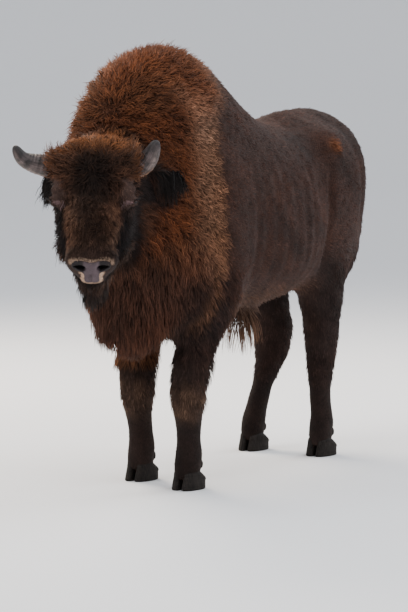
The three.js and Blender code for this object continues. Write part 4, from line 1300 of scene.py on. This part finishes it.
def build_lids(side, name):
    """The wet rims of the lids, the pink flesh of the inner corner, and the lashes."""
    count, sides = 120, 10
    along, height = lid_loop(count, 1.0)
    path = on_eye(side, along, height, EYE_RADIUS + 0.0012)
    onward = unit(np.roll(path, -1, 0) - np.roll(path, 1, 0))
    outward = unit(path - eye_frame(side)[0])
    beside = np.cross(onward, outward)
    angle = np.linspace(0, 2 * math.pi, sides, endpoint=False)[None, :, None]
    spoke = outward[:, None, :] * np.cos(angle) + beside[:, None, :] * np.sin(angle)
    ring = path[:, None, :] + LID_RIM * spoke
    n, m = np.meshgrid(np.arange(count), np.arange(sides), indexing="ij")
    here, onto, beyond = n * sides, (n + 1) % count * sides, (m + 1) % sides
    faces = np.stack([here + m, here + beyond, onto + beyond, onto + m], -1).reshape(-1, 4)
    rim = mesh_object("lid_rims_" + name, ring.reshape(-1, 3), faces)
    corner = on_eye(side, np.array([LID["half"] - 7.0]), np.array([-5.0]), EYE_RADIUS - 0.0004)[0]
    bpy.ops.mesh.primitive_uv_sphere_add(segments=24, ring_count=16, radius=0.0042, location=corner)
    flesh = bpy.context.object
    bpy.ops.object.transform_apply(location=True, rotation=True, scale=True)
    lashes = build_lashes(side)
    rose, dark = linear((122, 92, 92)), linear((26, 20, 21))
    medial = ramp(along, 20, 46)[:, None]
    paint(rim.data, "shade", np.repeat(dark + (rose - dark) * medial, sides, axis=0))
    paint(flesh.data, "shade", np.tile(rose, (len(flesh.data.vertices), 1)))
    paint(lashes.data, "shade", np.tile(linear((16, 12, 12)), (len(lashes.data.vertices), 1)))
    rim = joined([rim, flesh, lashes], rim.name)
    face_outwards(rim)
    bpy.ops.object.shade_smooth()
    rim.data.materials.append(bpy.data.materials["lid_skin"])
    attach(rim, BODY)


def build_lashes(side):
    """Curved tapering hairs along the upper lid."""
    count, rings, sides = 46, 5, 4
    along = np.linspace(-LID["half"] * 0.93, LID["half"] * 0.55, count)
    upper, _ = lid_edges(along)
    centre, _, inner, up = eye_frame(side)
    root = on_eye(side, along, upper + 2, EYE_RADIUS + 0.0015)
    outward = unit(root - centre)
    rng = np.random.default_rng(7)
    points = []
    for ring in range(rings):
        share = ring / (rings - 1)
        reach = 0.019 * rng.uniform(0.92, 1.06, (count, 1)) * share
        middle = root + (outward * 0.9 - up * 0.30) * reach + up * (0.55 * reach * share)
        thick = 0.00055 * (1 - share) + 0.00006
        for n in range(sides):
            turn = n * math.pi / 2
            points.append(middle + (inner * math.cos(turn) + up * math.sin(turn)) * thick)
    points = np.stack(points, 1).reshape(-1, 3)
    each = grid_faces(rings, sides)
    faces = (each[None] + (np.arange(count) * rings * sides)[:, None, None]).reshape(-1, 4)
    return mesh_object("lashes", points, faces)


# ------------------------------------------------------------------ nose pad
RAY_START, RAY_END, RAY_MISS = 0.08, 0.3, 0.12  # how far before the muzzle a ray starts, and how long it is


def build_pad(base):
    """The bare, pebbled skin between and above the nostrils, with shade painted inside them. base: the
    muzzle before the nostrils go in.
    """
    sides, rings = 144, 46
    share = np.linspace(0.0, 1, rings + 1)[1:, None] ** 0.85
    flat = PAD_MIDDLE + (pad_outline(sides) - PAD_MIDDLE)[None, :, :] * share[:, :, None]
    across, up = flat[..., 0], flat[..., 1]
    share = share * np.ones_like(across)
    rim = ramp(share, 0.90, 1.0)
    groove = 0.0022 * hump(across, 0, 0.0032) * ramp(up, 0.0, -0.02)
    puff = 0.0030 * (1 - rim) + 0.0016 * hump(np.abs(across), 0.020, 0.010)
    nostril = nostril_depth(across, up)
    lift = surface_under(base, across, up) + puff - groove - nostril - 0.0050 * rim**2
    points = from_head(on_pad(across, up, lift).reshape(-1, 3))
    quads = grid_faces(rings, sides)
    n = np.arange(sides)
    fan = np.stack([np.full(sides, rings * sides), n, (n + 1) % sides], 1)
    triangles = np.concatenate([quads[:, [0, 2, 1]], quads[:, [0, 3, 2]], fan])
    pad = mesh_object("nose_leather", np.concatenate([points, points[:sides].mean(0)[None]]), triangles)
    # (12, 9, 10) is the shade painted into the nostrils' hollows.
    shades = ((82, 69, 73), (12, 9, 10), (150, 128, 114), (24, 19, 20))
    mauve, painted_nostril_shade, pale, black = (linear(c) for c in shades)
    wing = ramp(np.abs(across), 0.024, 0.036) * ramp(up, 0.050, 0.044) * ramp(up, -0.016, -0.006)
    colour = mauve * (1 + 0.18 * ripple(points, 0.035, 51))[:, None]
    colour = moved(colour, black, 0.92 * wing.ravel())
    colour = moved(colour, pale, 0.7 * ramp(share, 0.95, 1.0).ravel())
    # Painted shade: the deeper into a nostril, the darker the pad.
    colour = moved(colour, painted_nostril_shade, ramp(nostril, 0.004, 0.018).ravel())
    paint(pad.data, "shade", np.concatenate([colour, colour[:1]]))
    pad.data.materials.append(bpy.data.materials["nose_skin"])
    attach(pad, BODY)
    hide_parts("nose_pad")


def on_pad(across, up, lift):
    """Places in the head's frame, from their place on the face of the muzzle."""
    lift = np.broadcast_to(lift, across.shape)
    return PAD_AT + across[..., None] * [1, 0, 0] + up[..., None] * PAD_UP + lift[..., None] * PAD_OUT


def surface_under(tree, across, up):
    """How far out the muzzle's surface lies under each place of the pad's plane."""
    start = from_head(on_pad(across, up, RAY_START).reshape(-1, 3))
    back = Vector(-way_from_head(PAD_OUT))
    found = [tree.ray_cast(Vector(p), back, RAY_END)[3] for p in start]
    return np.array([RAY_START - (RAY_MISS if d is None else d) for d in found]).reshape(across.shape)


# ------------------------------------------------------------------ materials
def plain_material(name, colour, roughness):
    material = bpy.data.materials.new(name)
    material.use_nodes = True
    shader = material.node_tree.nodes["Principled BSDF"]
    shader.inputs["Base Color"].default_value = (*colour, 1)
    shader.inputs["Roughness"].default_value = roughness
    return material


class Recipe:
    """Shader nodes of one material, added and linked by name."""

    def __init__(self, name, **shader):
        self.material = bpy.data.materials.new(name)
        self.material.use_nodes = True
        self.tree = self.material.node_tree
        self.shader = self.tree.nodes["Principled BSDF"]
        for socket, value in shader.items():
            self.shader.inputs[socket.replace("_", " ")].default_value = value

    def feed(self, socket, value):
        """Links a socket to another node's output, or sets its value."""
        if isinstance(value, bpy.types.NodeSocket):
            self.tree.links.new(value, socket)
        else:
            socket.default_value = value

    def node(self, kind, settings=None, **inputs):
        node = self.tree.nodes.new("ShaderNode" + kind)
        for key, value in (settings or {}).items():
            setattr(node, key, value)
        for key, value in inputs.items():
            self.feed(node.inputs[key], value)
        return node

    def link(self, output, socket):
        self.tree.links.new(output, self.shader.inputs[socket])

    def noise(self, scale, detail=3.0, stretch=(1, 1, 1), turn=(0, 0, 0)):
        """A cloudy grey over the object's own coordinates."""
        where = self.node("TexCoord").outputs["Object"]
        where = self.node("Mapping", Vector=where, Scale=stretch, Rotation=turn).outputs[0]
        return self.node("TexNoise", Vector=where, Scale=scale, Detail=detail).outputs["Fac"]

    def painted(self):
        return self.node("Attribute", {"attribute_name": "shade"}).outputs["Color"]

    def level(self, value, low, high, to_low=0.0, to_high=1.0):
        node = self.node("MapRange", {"clamp": True}, Value=value)
        for key, number in zip(("From Min", "From Max", "To Min", "To Max"), (low, high, to_low, to_high)):
            node.inputs[key].default_value = number
        return node.outputs["Result"]

    def mix(self, factor, one, other, blend="MIX"):
        node = self.node("Mix", {"data_type": "RGBA", "blend_type": blend}, Factor=factor)
        self.feed(node.inputs[6], one)
        self.feed(node.inputs[7], other)
        return node.outputs[2]

    def shaded(self, colour, factor):
        """A colour made lighter or darker by a factor."""
        grey = self.node("CombineColor", Red=factor, Green=factor, Blue=factor).outputs[0]
        return self.mix(1.0, colour, grey, "MULTIPLY")

    def mottled(self, grey, low, high, dark, light):
        """The painted colour, darkened and lightened by a grey pattern."""
        return self.shaded(self.painted(), self.level(grey, low, high, dark, light))

    def bump(self, height, distance, strength=1.0, after=None):
        node = self.node("Bump", Height=height, Distance=distance, Strength=strength)
        if after:
            self.feed(node.inputs["Normal"], after)
        return node.outputs[0]


def coat_material():
    recipe = Recipe("bison_coat", Roughness=0.75, Specular_IOR_Level=0.12, Sheen_Weight=0.03,
                    Sheen_Roughness=0.45)
    fine = recipe.noise(260, 2.0, (1, 0.25, 0.25))
    recipe.link(recipe.mottled(fine, 0.3, 0.7, 0.78, 1.22), "Base Color")
    recipe.link(recipe.bump(fine, 0.0012, 0.6), "Normal")
    return recipe.material


def skin_material():
    recipe = Recipe("bison_skin", Roughness=0.8, Specular_IOR_Level=0.10, Sheen_Weight=0.02,
                    Sheen_Roughness=0.5)
    lying = recipe.noise(420, 3.0, (1, 0.16, 0.30), (math.radians(-24), 0, 0))
    patchy = recipe.noise(38, 4.0)
    shade = recipe.mottled(lying, 0.3, 0.7, 0.62, 1.45)
    recipe.link(recipe.shaded(shade, recipe.level(patchy, 0.3, 0.7, 0.8, 1.2)), "Base Color")
    recipe.link(recipe.bump(lying, 0.003, 0.8, recipe.bump(patchy, 0.004, 0.4)), "Normal")
    return recipe.material


def horn_material():
    recipe = Recipe("ringed_horn", Roughness=0.5, Specular_IOR_Level=0.3)
    where = recipe.node("UVMap", {"uv_map": "grain"}).outputs[0]
    stretched = recipe.node("Mapping", Vector=where, Scale=(60, 3.0, 1)).outputs[0]
    grain = recipe.node("TexNoise", Vector=stretched, Scale=1.0, Detail=4.0).outputs["Fac"]
    blotch = recipe.noise(38, 5.0)
    shade = recipe.mottled(grain, 0.36, 0.64, 0.50, 1.45)
    recipe.link(recipe.shaded(shade, recipe.level(blotch, 0.40, 0.60, 0.50, 1.38)), "Base Color")
    recipe.link(recipe.level(blotch, 0.3, 0.7, 0.38, 0.62), "Roughness")
    recipe.link(recipe.bump(grain, 0.0018, 0.8), "Normal")
    return recipe.material


def hoof_material():
    recipe = Recipe("hoof_horn", Roughness=0.7, Specular_IOR_Level=0.12)
    upright = recipe.noise(300, 3.0, (1, 1, 0.08))
    layers = recipe.noise(180, 2.0, (0.05, 0.05, 1))
    black, brown = (0.007, 0.0055, 0.005, 1), (0.024, 0.019, 0.016, 1)
    blend = recipe.mix(recipe.level(upright, 0.35, 0.65), black, brown)
    recipe.link(recipe.shaded(blend, recipe.level(layers, 0.3, 0.7, 0.85, 1.2)), "Base Color")
    recipe.link(recipe.bump(layers, 0.0012, 0.6, recipe.bump(upright, 0.0006, 0.5)), "Normal")
    return recipe.material


def eye_material():
    recipe = Recipe("wet_eye", Roughness=0.15, Specular_IOR_Level=0.12, Coat_Weight=0.12,
                    Coat_Roughness=0.03)
    veins = recipe.noise(900, 2.0)
    recipe.link(recipe.mottled(veins, 0.3, 0.7, 0.85, 1.15), "Base Color")
    return recipe.material


def lid_material():
    recipe = Recipe("lid_skin", Roughness=0.5, Specular_IOR_Level=0.25)
    folds = recipe.noise(600, 3.0)
    recipe.link(recipe.mottled(folds, 0.3, 0.7, 0.8, 1.2), "Base Color")
    recipe.link(recipe.bump(folds, 0.0005, 0.5), "Normal")
    return recipe.material


def nose_material():
    recipe = Recipe("nose_skin", Roughness=0.5, Specular_IOR_Level=0.2)
    where = recipe.node("TexCoord").outputs["Object"]
    cells = recipe.node("TexVoronoi", {"feature": "DISTANCE_TO_EDGE"}, Vector=where, Scale=310.0)
    pebble = cells.outputs["Distance"]
    damp = recipe.noise(60, 3.0)
    recipe.link(recipe.mottled(pebble, 0.0, 0.12, 0.55, 1.0), "Base Color")
    recipe.link(recipe.level(damp, 0.35, 0.65, 0.42, 0.68), "Roughness")
    recipe.link(recipe.bump(recipe.level(pebble, 0.0, 0.25), 0.0010, 0.7), "Normal")
    return recipe.material


# ------------------------------------------------------------------ the whole animal
MAKERS = [
    coat_material, skin_material, horn_material, hoof_material, eye_material, lid_material, nose_material,
]
SKIN_TIP_SHARE = 0.45  # of the tips' colour in the skin's, the rest being the roots'

add_camera()
for light in LIGHTS:
    add_light(light)
add_stage()
for make in MAKERS:
    make()

skin, muzzle = build_skin()
unwrap(skin)
skin_part = part_shares(skin)
skin_coat = coat_at(places_of(skin.data), skin_part)
skin_root, skin_tip = markings(places_of(skin.data), skin_coat, skin_part)
skin_shade = skin_root * (1 - SKIN_TIP_SHARE) + skin_tip * SKIN_TIP_SHARE
paint(skin.data, "shade", np.clip(skin_shade, 0, 1))
skin.data.materials.append(bpy.data.materials["bison_skin"])
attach(skin, BODY)
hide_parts(*(name for name in FLESH if name != "nose_pad"))

roots = scatter(skin, skin_coat, skin_part, 5)
for number, (name, chosen, slot, rings, node) in enumerate(coat_groups(roots)):
    piece = grow(name, gather(roots, chosen), 100 + number, rings)
    if node:
        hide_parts(node)

for side, way in (("left", 1), ("right", -1)):
    build_horn(side)
    build_eye(way, side)
    build_lids(way, side)
    for end in ("front", "hind"):
        build_dewclaws(end, side)
        for claw in ("inner", "outer"):
            build_claw("claw_%s_%s_%s" % (end, side, claw))
build_pad(muzzle)
